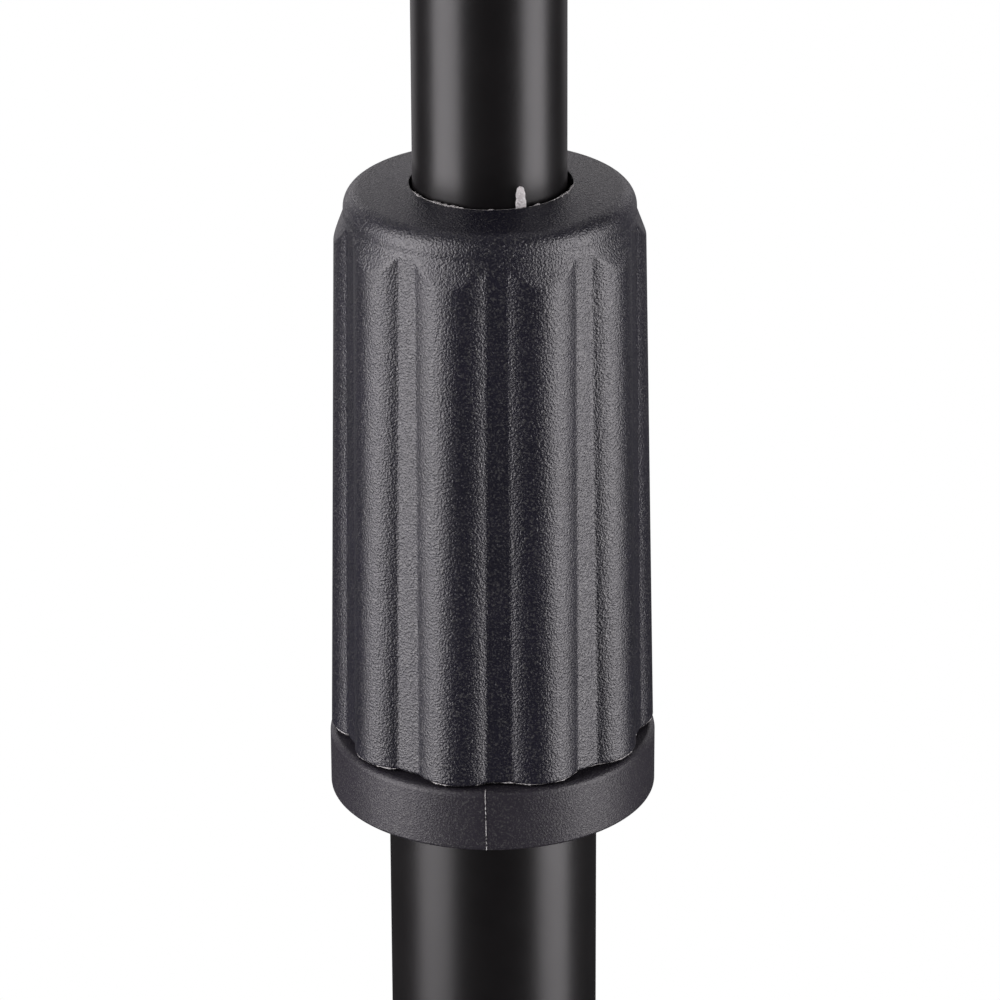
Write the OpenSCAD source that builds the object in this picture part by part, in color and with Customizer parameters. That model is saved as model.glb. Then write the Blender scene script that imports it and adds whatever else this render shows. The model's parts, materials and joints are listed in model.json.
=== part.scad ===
// Folding orchestral music stand with a twist-lock height clutch.
// Millimetres, +Z up. The floor is z = 0 and the player stands on the -Y side.
// Every module is drawn about the shaft axis, and the whole stand is then moved by
// shaft_y so that the centre of its footprint box lies over the origin.

/* [Tubes] */
// Outside diameter of the lower tube
lower_d = 22.2; // [22:0.1:22.6]
// Wall of the lower tube
lower_wall = 1.5; // [1.4:0.05:1.6]
// Outside diameter of the upper tube
upper_d = 15.9; // [15.7:0.1:16]
// Wall of the upper tube
upper_wall = 1.2; // [1:0.1:1.5]
// Length of the upper tube
upper_len = 560; // [520:10:580]
// Height of the upper tube's top end above the floor
upper_top = 930; // [900:10:960]

/* [Clutch] */
// Height of the clutch ring's underside above the floor
clutch_z = 560; // [550:10:590]
// Diameter of the clutch ring
ring_d = 34.6; // [34.2:0.1:35.5]
// Height of the clutch ring
ring_h = 6.8; // [6:0.1:6.8]
// Gap between the clutch ring and the tightened grip
ring_gap = 0.35; // [0.3:0.05:0.9]
// Height of the grip's top above the ring's underside
grip_top = 68; // [67:0.2:70]
// Diameter over the lobes at the top of the grip
grip_top_d = 32.2; // [32:0.1:32.6]
// Diameter over the lobes at the bottom of the grip
grip_bottom_d = 34.3; // [34:0.1:34.5]
// Number of lobes round the grip
lobes = 10; // [9:1:12]
// Pitch of the clutch thread, which sets how far the grip rises in a turn
thread_pitch = 4; // [3:0.5:5]

/* [Base] */
// Length of a leg from its pivot to the end of its tube
leg_len = 296; // [270:2:330]
// Angle of an open leg below the horizontal
leg_slope = 14; // [13:0.5:14.5]
// Outside diameter of a leg tube
leg_d = 16; // [15.6:0.1:16.4]
// Wall of a leg tube
leg_wall = 1.2; // [1:0.1:1.5]

/* [Desk] */
// Width of the desk
desk_w = 480; // [420:10:520]
// Height of the desk panel
desk_h = 330; // [300:10:360]
// Lean of the desk from the vertical
desk_lean = 20; // [10:1:30]
// Thickness of the desk's steel sheet
sheet = 1; // [0.8:0.1:1.5]
// Depth of the ledge that carries the music
ledge_depth = 56; // [45:1:70]
// Height of the ledge's lip
lip_h = 14; // [10:1:18]
// Radius of the panel's top corners
corner_r = 34; // [20:1:50]
// Diameter of the perforations
perf_d = 9; // [6:0.5:12]
// Distance between perforations in a row
perf_pitch = 22; // [18:1:30]

/* [Hidden] */
$fn = 72;
ROUND = 32;            // $fn of small round parts
FIT = 0.02;            // radial clearance of a close fit within one body
RUN = 0.05;            // radial clearance of a running fit
FREE = 0.3;            // clearance between parts that move past each other
PAST = 1;              // how far a cutting shape runs past what it cuts

// Base
lower_r = lower_d / 2;
lower_bore = lower_r - lower_wall;
leg_r = leg_d / 2;
leg_bore = leg_r - leg_wall;
hub_r = 22;
hub_floor = 62;                    // underside of the hub
hub_top = 112;
collar_h = 9;                      // tapered collar on the hub
socket_floor = hub_floor + 8;      // the lower tube stands here
base_bolt_r = 4;
washer_t = 1.6;
plug_h = 26;
pivot_r = 36;                      // distance of a leg's pivot from the shaft axis
pivot_z = 85;
lug_w = 10;
lug_len = 12;                      // from the pivot to the lug's round collar
lug_collar = 2.5;
ear_gap = lug_w + 0.4;
ear_t = 5;
ear_r = 10;
ears_half = ear_gap / 2 + ear_t;
leg_bolt_r = 3;
leg_pin_r = 1.5;
leg_pin_s = 30;                    // the pin's place along the leg
boot_r = 11;
boot_len = 30;
boot_tip = 2;                      // the boot's end past the end of the tube
pad_r = 13;                        // flat pad under the boot
pad_s = leg_len - 8;               // the pad's place along the leg
pad_reach = pivot_r + pad_s * cos(leg_slope);
foot_rise = pivot_z - pad_s * sin(leg_slope);
LEGS = [["rear", 90], ["left", 210], ["right", 330]];

// The footprint runs from the front pads to the rear pad
shaft_y = (pad_reach * sin(30) - pad_reach) / 2;

// Clutch, heights above the ring's underside
tube_seat = 26;                    // top of the lower tube
sleeve_top = 36;                   // top of the threaded sleeve
collet_foot = 39;
collet_top = 60;
collet_r = 12.6;
collet_tip_r = 10.4;
dowel_r = 1.5;
dowel_z = 18;
thread_r = 13.4;
tip_angle = -67;                   // where one finger's tip stands out of the grip
tip_w = 0.9;
tip_t = 0.3;
tip_rise = 2.2;
slip_t = 1.4;
grip_floor = ring_h + ring_gap;
grip_bore = 8.38;
grip_collar_r = 15.1;
grip_crown = 7;                    // slope of the grip's top face, in degrees
grip_edge = 2;                     // rounding of the grip's top edge
lobe_r = 5.4;
flute_top = 0.85;                  // depth of the flutes between the lobes
flute_bottom = 1.2;
shoulder_z = grip_top - 9;         // the lobes end on a cone above this height
cone_top = grip_top - 3.5;

// Mast
upper_r = upper_d / 2;
upper_bore = upper_r - upper_wall;
upper_bottom = upper_top - upper_len;
bush_len = 26;
groove_z = bush_len + 0.6;         // snap ring groove above the tube's lower end
groove_w = 1.3;
groove_floor = upper_r - 0.5;

// Head
socket_r = 12.5;
socket_len = 38;
neck_r = 11;
barrel_r = 12;
barrel_half = 13;
tilt_z = upper_top + 22;           // height of the tilt axis
tilt_bolt_r = 4;
friction_t = 2.1;
screw_r = 2.5;
screw_z = upper_top - 18;
spot_face = 11.6;                  // the socket screw's head seats this far from the axis

// Desk, in its own frame with the tilt axis as its origin
bracket_t = 2.5;
ear_in = barrel_half + friction_t + 0.1;
ear_out = ear_in + bracket_t;
tilt_ear_r = 11;
panel_back = -24.5;
panel_front = panel_back - sheet;
panel_bottom = -145;
panel_top = panel_bottom + desk_h;
panel_rim = 8;
knob_in = ear_out + 3.3;
knob_out = knob_in + 17;
insert_r = 7;
rivet_r = 2.5;
small_rivet_r = 2;
upstand = 20;                      // part of the ledge behind the panel
joggle = 2;                        // depth of the groove in the ledge that the panel stands in
ledge_top = panel_bottom + joggle;
groove_y = panel_front - FREE;     // front of the groove
lip_y = panel_front - ledge_depth;
lip_top = ledge_top - sheet + lip_h;

// ---------------------------------------------------------------- helpers

module ring(outer, inner, h) {
    difference() {
        cylinder(r = outer, h = h);
        translate([0, 0, -PAST]) cylinder(r = inner, h = h + 2 * PAST);
    }
}

// A flat shape made solid along X, from x0 to x1, with its own X up
module along_x(x0, x1) {
    translate([x0, 0, 0]) rotate([0, 90, 0]) linear_extrude(x1 - x0) children();
}

// A section drawn in Y and Z, made solid along X from x0 to x1
module section_yz(x0, x1) {
    translate([x0, 0, 0]) rotate([90, 0, 90]) linear_extrude(x1 - x0) children();
}

// A flat shape drawn in X and Z, given thickness from y0 back to y1
module sheet_xz(y0, y1) {
    translate([0, y1, 0]) rotate([90, 0, 0]) linear_extrude(y1 - y0) children();
}

// A section drawn in radius and height, made solid sideways by w about its middle
module slab_rz(w) {
    translate([0, w / 2, 0]) rotate([90, 0, 0]) linear_extrude(w) children();
}

// A round bar through both walls of something, square to the leg
module cross_bar(r, half) {
    rotate([-90, 0, 0]) translate([0, 0, -half]) cylinder(r = r, h = 2 * half, $fn = ROUND);
}

module at_leg(angle) { rotate([0, 0, angle]) children(); }

module at_pivot(angle) { at_leg(angle) translate([pivot_r, 0, pivot_z]) children(); }

// A leg's own frame, X running down the leg from its pivot
module on_leg(angle) { at_pivot(angle) rotate([0, leg_slope, 0]) children(); }

// A bar along the leg from s0 to s1
module leg_bar(r, s0, s1, r_end = -1) {
    translate([s0, 0, 0]) rotate([0, 90, 0])
        cylinder(r1 = r, r2 = r_end < 0 ? r : r_end, h = s1 - s0);
}

// A point s along an open leg and n square to it, in radius and height
function leg_point(s, n) = [pivot_r + s * cos(leg_slope) + n * sin(leg_slope),
                            pivot_z - s * sin(leg_slope) + n * cos(leg_slope)];

module at_clutch() { translate([0, 0, clutch_z]) children(); }

module at_desk() { translate([0, 0, tilt_z]) rotate([-desk_lean, 0, 0]) children(); }

// ---------------------------------------------------------------- base

module ear_section() {
    inner = hub_r - 7;
    polygon([[inner, pivot_z - 13], [pivot_r, pivot_z - ear_r], [pivot_r, pivot_z],
             leg_point(2, ear_r - 1), leg_point(-2, 14), [inner, hub_top - 6]]);
    translate([pivot_r, pivot_z]) circle(r = ear_r);
}

// The roof over the ears that an open leg's tube rests against
module stop_section() {
    inner = hub_r - 7;
    under = leg_r + FREE;
    polygon([[inner, hub_top - 12], leg_point(-16, under), leg_point(22, under),
             leg_point(21, under + 4), leg_point(-2, under + 8), [inner, hub_top - 2]]);
}

module hub_arm() {
    for (side = [-1, 1])
        translate([0, side * (ear_gap + ear_t) / 2, 0]) slab_rz(ear_t) ear_section();
    slab_rz(2 * ears_half) stop_section();
}

module base_hub() {
    color("#26262a") difference() {
        union() {
            translate([0, 0, hub_floor]) cylinder(r = hub_r, h = hub_top - hub_floor);
            translate([0, 0, hub_top]) cylinder(r1 = hub_r - 3, r2 = hub_r - 7, h = collar_h);
            for (leg = LEGS) at_leg(leg[1]) hub_arm();
        }
        translate([0, 0, socket_floor]) cylinder(r = lower_r + FIT, h = hub_top);
        translate([0, 0, hub_floor - PAST]) cylinder(r = base_bolt_r + FREE, h = 20, $fn = ROUND);
        for (leg = LEGS) at_pivot(leg[1]) cross_bar(leg_bolt_r + FIT, ears_half + PAST);
    }
}

module base_washer() {
    color("silver") translate([0, 0, hub_floor - washer_t]) ring(10, base_bolt_r + FREE, washer_t);
}

module base_bolt() {
    head_h = 5.5;
    under_head = hub_floor - washer_t;
    color("silver") {
        translate([0, 0, under_head - head_h]) cylinder(r = 7.5, h = head_h, $fn = 6);
        translate([0, 0, under_head - PAST]) cylinder(r = base_bolt_r, h = plug_h + 5, $fn = ROUND);
    }
}

module tube_plug() {
    color("silver") translate([0, 0, socket_floor])
        ring(lower_bore - FIT, base_bolt_r + FIT, plug_h);
}

module leg_bolts() {
    head_h = 3.4;
    tail = 7;
    color("silver") for (leg = LEGS) at_pivot(leg[1]) rotate([-90, 0, 0]) difference() {
        union() {
            translate([0, 0, -ears_half])
                cylinder(r = leg_bolt_r, h = 2 * ears_half + tail, $fn = ROUND);
            translate([0, 0, -ears_half - head_h]) cylinder(r = 5.2, h = head_h, $fn = ROUND);
        }
        translate([0, 0, -ears_half - head_h - PAST]) cylinder(r = 2.3, h = 2 + PAST, $fn = 6);
    }
}

module leg_nuts() {
    hex_h = 4.4;
    color("silver") for (leg = LEGS)
        at_pivot(leg[1]) rotate([-90, 0, 0]) translate([0, 0, ears_half]) difference() {
            union() {
                cylinder(r = 5.7, h = hex_h, $fn = 6);
                translate([0, 0, hex_h]) cylinder(r = 4.6, h = 1.6, $fn = ROUND);
            }
            translate([0, 0, -PAST]) cylinder(r = leg_bolt_r + FIT, h = 10, $fn = ROUND);
        }
}

module leg_lug(angle) {
    color("#2b2b30") on_leg(angle) difference() {
        union() {
            rotate([-90, 0, 0]) translate([0, 0, -lug_w / 2]) cylinder(r = leg_r, h = lug_w);
            translate([0, -lug_w / 2, -leg_r]) cube([lug_len + PAST / 2, lug_w, leg_d]);
            leg_bar(leg_r, lug_len, lug_len + lug_collar);
            leg_bar(leg_bore - FIT, lug_len + PAST, leg_pin_s + 12);
        }
        cross_bar(leg_bolt_r + RUN, lug_w);
        translate([leg_pin_s, 0, -leg_d]) cylinder(r = leg_pin_r, h = 2 * leg_d, $fn = ROUND);
    }
}

module leg_tube(angle) {
    start = lug_len + lug_collar;
    color("#1d1d1f") on_leg(angle) difference() {
        leg_bar(leg_r, start, leg_len);
        leg_bar(leg_bore, start - PAST, leg_len + PAST);
        translate([leg_pin_s, 0, -leg_d]) cylinder(r = leg_pin_r, h = 2 * leg_d, $fn = ROUND);
    }
}

module leg_pin(angle) {
    proud = 0.4;
    color("silver") on_leg(angle) translate([leg_pin_s, 0, -leg_r - proud])
        cylinder(r = leg_pin_r, h = leg_d + 2 * proud, $fn = ROUND);
}

// Rubber boot on the end of the tube, with a flat pad that stands on the floor
module foot(angle) {
    boot_start = leg_len - boot_len;
    color("#161617") difference() {
        union() {
            on_leg(angle) {
                leg_bar(leg_r + 1.6, boot_start - 6, boot_start, boot_r);
                leg_bar(boot_r, boot_start, leg_len + boot_tip);
                leg_bar(boot_r, leg_len + boot_tip, leg_len + boot_tip + 3, boot_r - 3);
            }
            at_leg(angle) translate([pad_reach, 0, 0])
                cylinder(r1 = pad_r, r2 = pad_r - 1.5, h = foot_rise - 2);
        }
        on_leg(angle) leg_bar(leg_r, boot_start - 20, leg_len);
    }
}

// ---------------------------------------------------------------- shaft and clutch

module dowel_holes() {
    for (side = [-1, 1]) translate([0, side * lower_r, dowel_z]) rotate([90, 0, 0])
        cylinder(r = dowel_r, h = 8, center = true, $fn = ROUND);
}

module lower_tube() {
    color("#19191b") difference() {
        translate([0, 0, socket_floor])
            ring(lower_r, lower_bore, clutch_z + tube_seat - socket_floor);
        at_clutch() dowel_holes();
    }
}

// The fixed half of the clutch: the ring below the grip, and the threaded sleeve inside it
module clutch_body() {
    relief_r = thread_r - 1;
    throat_r = upper_r + FREE;
    color("#232326") at_clutch() difference() {
        rotate_extrude() polygon([
            [lower_r + FIT, 0], [ring_d / 2 - 0.4, 0], [ring_d / 2, 0.4], [ring_d / 2, ring_h - 1],
            [ring_d / 2 - 1, ring_h], [relief_r, ring_h], [relief_r, ring_h + 3],
            [thread_r, ring_h + 4], [thread_r, sleeve_top - 1], [relief_r, sleeve_top],
            [throat_r, sleeve_top], [throat_r, tube_seat], [lower_r + FIT, tube_seat]]);
        dowel_holes();
    }
}

module clutch_dowels() {
    color("silver") at_clutch() for (side = [-1, 1])
        translate([0, side * (lower_r + 0.3), dowel_z]) rotate([90, 0, 0])
            cylinder(r = dowel_r, h = 3.2, center = true, $fn = ROUND);
}

// Split nylon sleeve that closes on the upper tube. The tip of one finger stands out of the grip.
module clamp_collet() {
    inner = upper_r + RUN;
    slots = 6;
    tip_len = grip_top + tip_rise - collet_top;
    color("#dcdad6") at_clutch() {
        difference() {
            rotate_extrude() polygon([
                [inner, sleeve_top], [collet_r, sleeve_top], [collet_r, collet_foot - 0.4],
                [collet_r - 0.5, collet_foot], [collet_tip_r, collet_top], [inner, collet_top]]);
            for (i = [0 : slots - 1]) rotate([0, 0, (i + 0.4) * 360 / slots])
                translate([inner - 2, -0.6, collet_foot + 2]) cube([10, 1.2, collet_top]);
        }
        intersection() {
            translate([0, 0, collet_top - 3]) ring(inner + tip_t, inner, tip_len + 3);
            rotate([0, 0, tip_angle])
                translate([inner - 2, -tip_w / 2, 0]) cube([6, tip_w, 2 * grip_top]);
        }
    }
}

module slip_washer() {
    color("#c9c7c2") at_clutch() translate([0, 0, collet_top + 0.1]) ring(10.2, 8.7, slip_t);
}

// What the grip is turned to before its flutes: straight sides, a cone and a rounded collar
// The grip's shape without its lobes. Its top face falls away from the bore to a rounded edge
module grip_envelope() {
    outer = grip_bottom_d / 2 + 1;
    rim_r = grip_collar_r - grip_edge;
    fall = (rim_r + grip_edge * sin(grip_crown) - grip_bore) * tan(grip_crown);
    centre = [rim_r, grip_top - fall - grip_edge * cos(grip_crown)];
    edge = [for (a = [0, 18, 36, 54, 70, 90 - grip_crown])
        centre + grip_edge * [cos(a), sin(a)]];
    rotate_extrude() polygon(concat(
        [[0, grip_floor], [outer, grip_floor], [outer, shoulder_z], [grip_collar_r, cone_top]],
        edge, [[grip_bore, grip_top], [0, grip_top]]));
}

module grip_lobes(height, lean) {
    for (i = [0 : lobes - 1])
        rotate([0, 0, (i + 0.5) * 360 / lobes - 87.5])
            translate([grip_bottom_d / 2 - lobe_r, 0, grip_floor]) rotate([0, -lean, 0])
                translate([0, 0, -3]) cylinder(r = lobe_r, h = height + 12);
}

module grip_cavity() {
    wide = thread_r + FREE;
    shelf = collet_top + 0.1 + slip_t + 0.1;
    rotate_extrude() polygon([
        [0, grip_floor - PAST], [wide, grip_floor - PAST], [wide, collet_foot - 2],
        [collet_r + FREE, collet_foot - 1], [collet_tip_r + FREE, collet_top],
        [collet_tip_r + FREE, shelf], [grip_bore, shelf], [grip_bore, grip_top + PAST],
        [0, grip_top + PAST]]);
}

module grip() {
    top_r = grip_top_d / 2;
    bottom_r = grip_bottom_d / 2;
    height = shoulder_z - grip_floor;
    lean = atan((bottom_r - top_r) / height);
    color("#2a2a2e") at_clutch() difference() {
        intersection() {
            grip_envelope();
            union() {
                translate([0, 0, grip_floor - PAST]) cylinder(
                    r1 = bottom_r - flute_bottom, r2 = top_r - flute_top, h = height + PAST);
                translate([0, 0, shoulder_z - 0.01]) cylinder(r = top_r - flute_top, h = 10);
                grip_lobes(height, lean);
            }
        }
        grip_cavity();
    }
}

// ---------------------------------------------------------------- mast

module upper_tube() {
    color("#19191b") translate([0, 0, upper_bottom]) difference() {
        ring(upper_r, upper_bore, upper_len);
        translate([0, 0, groove_z]) ring(upper_r + PAST, groove_floor, groove_w);
    }
}

module guide_bush() {
    color("#d5d3ce") translate([0, 0, upper_bottom + 0.1]) difference() {
        ring(lower_bore - RUN, upper_r + RUN, bush_len);
        translate([0, -0.8, -PAST]) cube([20, 1.6, bush_len + 2 * PAST]);
    }
}

module tube_end_plug() {
    color("#232326") translate([0, 0, upper_bottom]) {
        translate([0, 0, -2.5]) cylinder(r = lower_bore - 0.6, h = 2.5);
        cylinder(r = upper_bore - FIT, h = 20);
    }
}

module snap_ring() {
    color("silver") translate([0, 0, upper_bottom + groove_z + 0.1]) difference() {
        ring(lower_bore - 0.6, groove_floor, groove_w - 0.2);
        translate([0, -3, -PAST]) cube([20, 6, 4]);
    }
}

// ---------------------------------------------------------------- head

module desk_socket() {
    bottom = upper_top - socket_len;
    color("#222225") difference() {
        union() {
            translate([0, 0, bottom]) cylinder(r1 = socket_r - 1, r2 = socket_r, h = 2);
            translate([0, 0, bottom + 2]) cylinder(r = socket_r, h = socket_len);
            translate([0, 0, upper_top + 2]) cylinder(r1 = socket_r, r2 = neck_r, h = 3);
            translate([0, 0, upper_top]) cylinder(r = neck_r, h = tilt_z - upper_top);
            translate([0, 0, tilt_z]) along_x(-barrel_half, barrel_half) circle(r = barrel_r);
        }
        translate([0, 0, bottom - PAST]) cylinder(r = upper_r + FIT, h = socket_len + PAST);
        translate([0, 0, tilt_z]) along_x(-20, 20) circle(r = tilt_bolt_r + RUN, $fn = ROUND);
        translate([0, 6, screw_z]) rotate([-90, 0, 0]) cylinder(r = screw_r, h = 20, $fn = ROUND);
        translate([0, spot_face, screw_z]) rotate([-90, 0, 0]) cylinder(r = 4.6, h = 9, $fn = ROUND);
    }
}

module socket_screw() {
    head_h = 5;
    tip = upper_r + FIT;
    color("silver") translate([0, 0, screw_z]) rotate([-90, 0, 0]) difference() {
        union() {
            translate([0, 0, tip]) cylinder(r = screw_r, h = spot_face - tip + PAST, $fn = ROUND);
            translate([0, 0, spot_face]) cylinder(r = 4.25, h = head_h, $fn = ROUND);
        }
        translate([0, 0, spot_face + 2.5]) cylinder(r = 2.3, h = head_h, $fn = 6);
    }
}

// A disc with a hole that runs on the tilt bolt
module bolt_disc(r) {
    difference() {
        circle(r = r);
        circle(r = tilt_bolt_r + RUN, $fn = ROUND);
    }
}

module friction_washers() {
    color("#8a8478") translate([0, 0, tilt_z]) {
        along_x(barrel_half, barrel_half + friction_t) bolt_disc(11.5);
        along_x(-barrel_half - friction_t, -barrel_half) bolt_disc(11.5);
    }
}

module tilt_bolt() {
    color("silver") at_desk() {
        along_x(-ear_out - 1, knob_out - 3) circle(r = tilt_bolt_r, $fn = ROUND);
        along_x(-ear_out - 5, -ear_out) circle(r = 7, $fn = 6);
    }
}

module knob_washer() {
    color("silver") at_desk() along_x(ear_out, ear_out + 1.5) bolt_disc(9.5);
}

module disc_spring() {
    start = ear_out + 1.5;
    inner = tilt_bolt_r + FREE;
    color("silver") at_desk() rotate([0, 90, 0]) rotate_extrude() polygon([
        [inner, start + 0.7], [9, start], [9, start + 0.9], [inner, start + 1.6]]);
}

module tilt_knob() {
    points = 5;
    boss = 3;
    color("#1e1e20") at_desk() difference() {
        union() {
            along_x(knob_in, knob_in + boss) circle(r = 11);
            along_x(knob_in + boss, knob_out) difference() {
                circle(r = 21);
                for (i = [0 : points - 1])
                    rotate(i * 360 / points) translate([26.5, 0]) circle(r = 10.5);
            }
            translate([knob_out, 0, 0]) rotate([0, 90, 0]) cylinder(r1 = 13, r2 = 10, h = 3);
        }
        along_x(knob_in - PAST, knob_out - 2) circle(r = insert_r, $fn = ROUND);
    }
}

module knob_insert() {
    color("#b08d4c") at_desk() along_x(knob_in, knob_out - 2.5) difference() {
        circle(r = insert_r, $fn = ROUND);
        circle(r = tilt_bolt_r + RUN, $fn = ROUND);
    }
}

// ---------------------------------------------------------------- desk

module tilt_ear() {
    polygon([[panel_back, -30], [panel_back, 34], [0, tilt_ear_r], [0, -tilt_ear_r]]);
    circle(r = tilt_ear_r);
}

module bracket_plate() {
    corner = 8;
    translate([-48, -38 + corner]) square([96, 80 - 2 * corner]);
    translate([-48 + corner, -38]) square([96 - 2 * corner, 80]);
    for (x = [-48 + corner, 48 - corner]) for (z = [-38 + corner, 42 - corner])
        translate([x, z]) circle(r = corner, $fn = ROUND);
}

bracket_holes = [for (x = [-38, 38]) for (z = [-28, 32]) [x, z]];
ledge_holes = [for (i = [0 : 5]) [(i - 2.5) * desk_w / 6, panel_bottom + upstand * 0.6]];

// Holes square to the panel, through everything behind its front face
module rivet_holes(places, r) {
    for (p = places) translate([p[0], panel_front - PAST, p[1]]) rotate([-90, 0, 0])
        cylinder(r = r, h = 12, $fn = ROUND);
}

// Rivets flush with the panel's front face, headed where they come out at the back
module rivets(places, r, back, head_h) {
    for (p = places) translate([p[0], 0, p[1]]) rotate([-90, 0, 0]) {
        translate([0, 0, panel_front]) cylinder(r = r, h = back - panel_front, $fn = ROUND);
        translate([0, 0, back]) cylinder(r1 = 1.8 * r, r2 = 1.1 * r, h = head_h, $fn = ROUND);
    }
}

// Stamped channel that joins the panel to the tilt bolt
module desk_bracket() {
    color("#202023") at_desk() difference() {
        union() {
            sheet_xz(panel_back, panel_back + bracket_t) bracket_plate();
            for (x = [-ear_out, ear_in]) section_yz(x, x + bracket_t) tilt_ear();
        }
        along_x(-30, 30) circle(r = tilt_bolt_r + FIT, $fn = ROUND);
        rivet_holes(bracket_holes, rivet_r);
    }
}

module bracket_rivets() {
    color("silver") at_desk() rivets(bracket_holes, rivet_r, panel_back + bracket_t, 1.8);
}

module ledge_rivets() {
    color("silver") at_desk() rivets(ledge_holes, small_rivet_r, panel_back + sheet, 1.4);
}

module panel_outline(inset) {
    half = desk_w / 2 - inset;
    r = corner_r - inset;
    top = panel_top - inset;
    translate([-half, panel_bottom]) square([2 * half, top - r - panel_bottom]);
    translate([-half + r, panel_bottom]) square([2 * (half - r), top - panel_bottom]);
    for (side = [-1, 1]) translate([side * (half - r), top - r]) circle(r = r);
}

// Staggered rows of round holes, left out in front of the bracket and along the ledge
module perforations() {
    row_pitch = perf_pitch * sin(60);
    first = panel_bottom + 52;
    rows = floor((panel_top - 45 - first) / row_pitch) + 1;
    across = floor((desk_w - 40) / perf_pitch);
    for (row = [0 : rows - 1]) {
        z = first + row * row_pitch;
        count = across - row % 2;
        for (i = [0 : count - 1]) {
            x = (i - (count - 1) / 2) * perf_pitch;
            if (abs(x) > 56 || z > 50 || z < -46)
                translate([x, z]) circle(r = perf_d / 2, $fn = ROUND);
        }
    }
}

// Takes the front off the panel's lower edge, which stands in the ledge's groove
module groove_chamfer() {
    section_yz(-desk_w, desk_w) polygon([
        [panel_front - PAST, ledge_top + FREE], [panel_front, ledge_top + FREE],
        [panel_front + FREE, panel_bottom], [panel_front + FREE, panel_bottom - PAST],
        [panel_front - PAST, panel_bottom - PAST]]);
}

module desk_panel() {
    color("#1c1c1e") at_desk() difference() {
        union() {
            sheet_xz(panel_front, panel_back) difference() {
                panel_outline(0);
                perforations();
            }
            sheet_xz(panel_back, panel_back + panel_rim) difference() {
                panel_outline(0);
                translate([0, -PAST]) panel_outline(sheet);
                translate([-desk_w, panel_bottom - PAST]) square([2 * desk_w, upstand + 3]);
            }
        }
        rivet_holes(bracket_holes, rivet_r);
        rivet_holes(ledge_holes, small_rivet_r);
        groove_chamfer();
    }
}

// One folded sheet: a lip, a floor, a groove under the panel's edge and an upstand behind it
module ledge_section() {
    bend = 4;
    floor_z = ledge_top - sheet;
    groove_z = panel_bottom - sheet;
    translate([lip_y, floor_z + bend]) square([sheet, lip_h - bend]);
    translate([lip_y + bend, floor_z + bend]) intersection() {
        difference() {
            circle(r = bend);
            circle(r = bend - sheet);
        }
        translate([-bend, -bend]) square(bend);
    }
    translate([lip_y + bend, floor_z]) square([groove_y - lip_y - bend, sheet]);
    translate([groove_y - sheet, groove_z]) square([sheet, joggle + sheet]);
    translate([groove_y - sheet, groove_z]) square([panel_back + 2 * sheet - groove_y, sheet]);
    translate([panel_back, groove_z]) square([sheet, upstand]);
}

module desk_ledge() {
    color("#1c1c1e") at_desk() difference() {
        section_yz(-desk_w / 2, desk_w / 2) ledge_section();
        rivet_holes(ledge_holes, small_rivet_r);
    }
}

// Soft edging pushed over the lip
module ledge_trim() {
    wall = 0.8;
    grab = 5;
    color("#121213") at_desk() section_yz(-desk_w / 2, desk_w / 2) difference() {
        translate([lip_y - wall, lip_top - grab]) square([sheet + 2 * wall, grab + wall]);
        translate([lip_y, lip_top - grab - PAST]) square([sheet, grab + PAST]);
    }
}

// ---------------------------------------------------------------- drawing

translate([0, shaft_y, 0]) {
    base_hub();
    base_washer();
    base_bolt();
    tube_plug();
    leg_bolts();
    leg_nuts();
    lower_tube();
    clutch_body();
    clutch_dowels();
    clamp_collet();
    slip_washer();
    grip();
    guide_bush();
    upper_tube();
    tube_end_plug();
    snap_ring();
    desk_socket();
    socket_screw();
    friction_washers();
    tilt_bolt();
    knob_washer();
    disc_spring();
    tilt_knob();
    knob_insert();
    desk_bracket();
    bracket_rivets();
    desk_panel();
    desk_ledge();
    ledge_rivets();
    ledge_trim();
    for (leg = LEGS) {
        leg_tube(leg[1]);
        leg_lug(leg[1]);
        leg_pin(leg[1]);
        foot(leg[1]);
    }
}
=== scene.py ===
"""Looks of a folding music stand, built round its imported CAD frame. The scene is in metres, +Z up.

New pieces are drawn in millimetres in a frame of their own: the shaft's, the desk's or a leg's.
"""

import json
import math
import random

import bmesh
import bpy
from mathutils import Matrix, Vector
from mathutils.geometry import tessellate_polygon


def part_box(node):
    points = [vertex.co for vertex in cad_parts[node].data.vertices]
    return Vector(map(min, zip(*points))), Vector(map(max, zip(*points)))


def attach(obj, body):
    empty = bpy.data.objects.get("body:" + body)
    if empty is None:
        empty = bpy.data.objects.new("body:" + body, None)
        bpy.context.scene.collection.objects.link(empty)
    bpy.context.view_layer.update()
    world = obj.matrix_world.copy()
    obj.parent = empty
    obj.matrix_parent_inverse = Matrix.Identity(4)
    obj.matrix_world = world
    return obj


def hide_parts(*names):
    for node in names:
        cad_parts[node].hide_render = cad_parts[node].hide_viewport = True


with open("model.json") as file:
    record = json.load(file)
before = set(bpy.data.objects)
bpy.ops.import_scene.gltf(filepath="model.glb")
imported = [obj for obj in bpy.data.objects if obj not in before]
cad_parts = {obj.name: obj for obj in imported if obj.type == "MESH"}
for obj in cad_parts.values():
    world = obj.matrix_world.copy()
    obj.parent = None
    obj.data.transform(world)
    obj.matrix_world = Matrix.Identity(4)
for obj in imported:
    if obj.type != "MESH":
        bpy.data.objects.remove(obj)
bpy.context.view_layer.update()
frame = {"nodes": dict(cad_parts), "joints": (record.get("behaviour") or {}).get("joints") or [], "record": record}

MM = 0.001
TURN = 2 * math.pi
JOINTS = {joint["name"]: joint for joint in frame["joints"]}
MOUNTS = {mount["name"]: mount for mount in frame["record"]["mounts"]}


# ---- frames, each with millimetres as its unit

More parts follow.
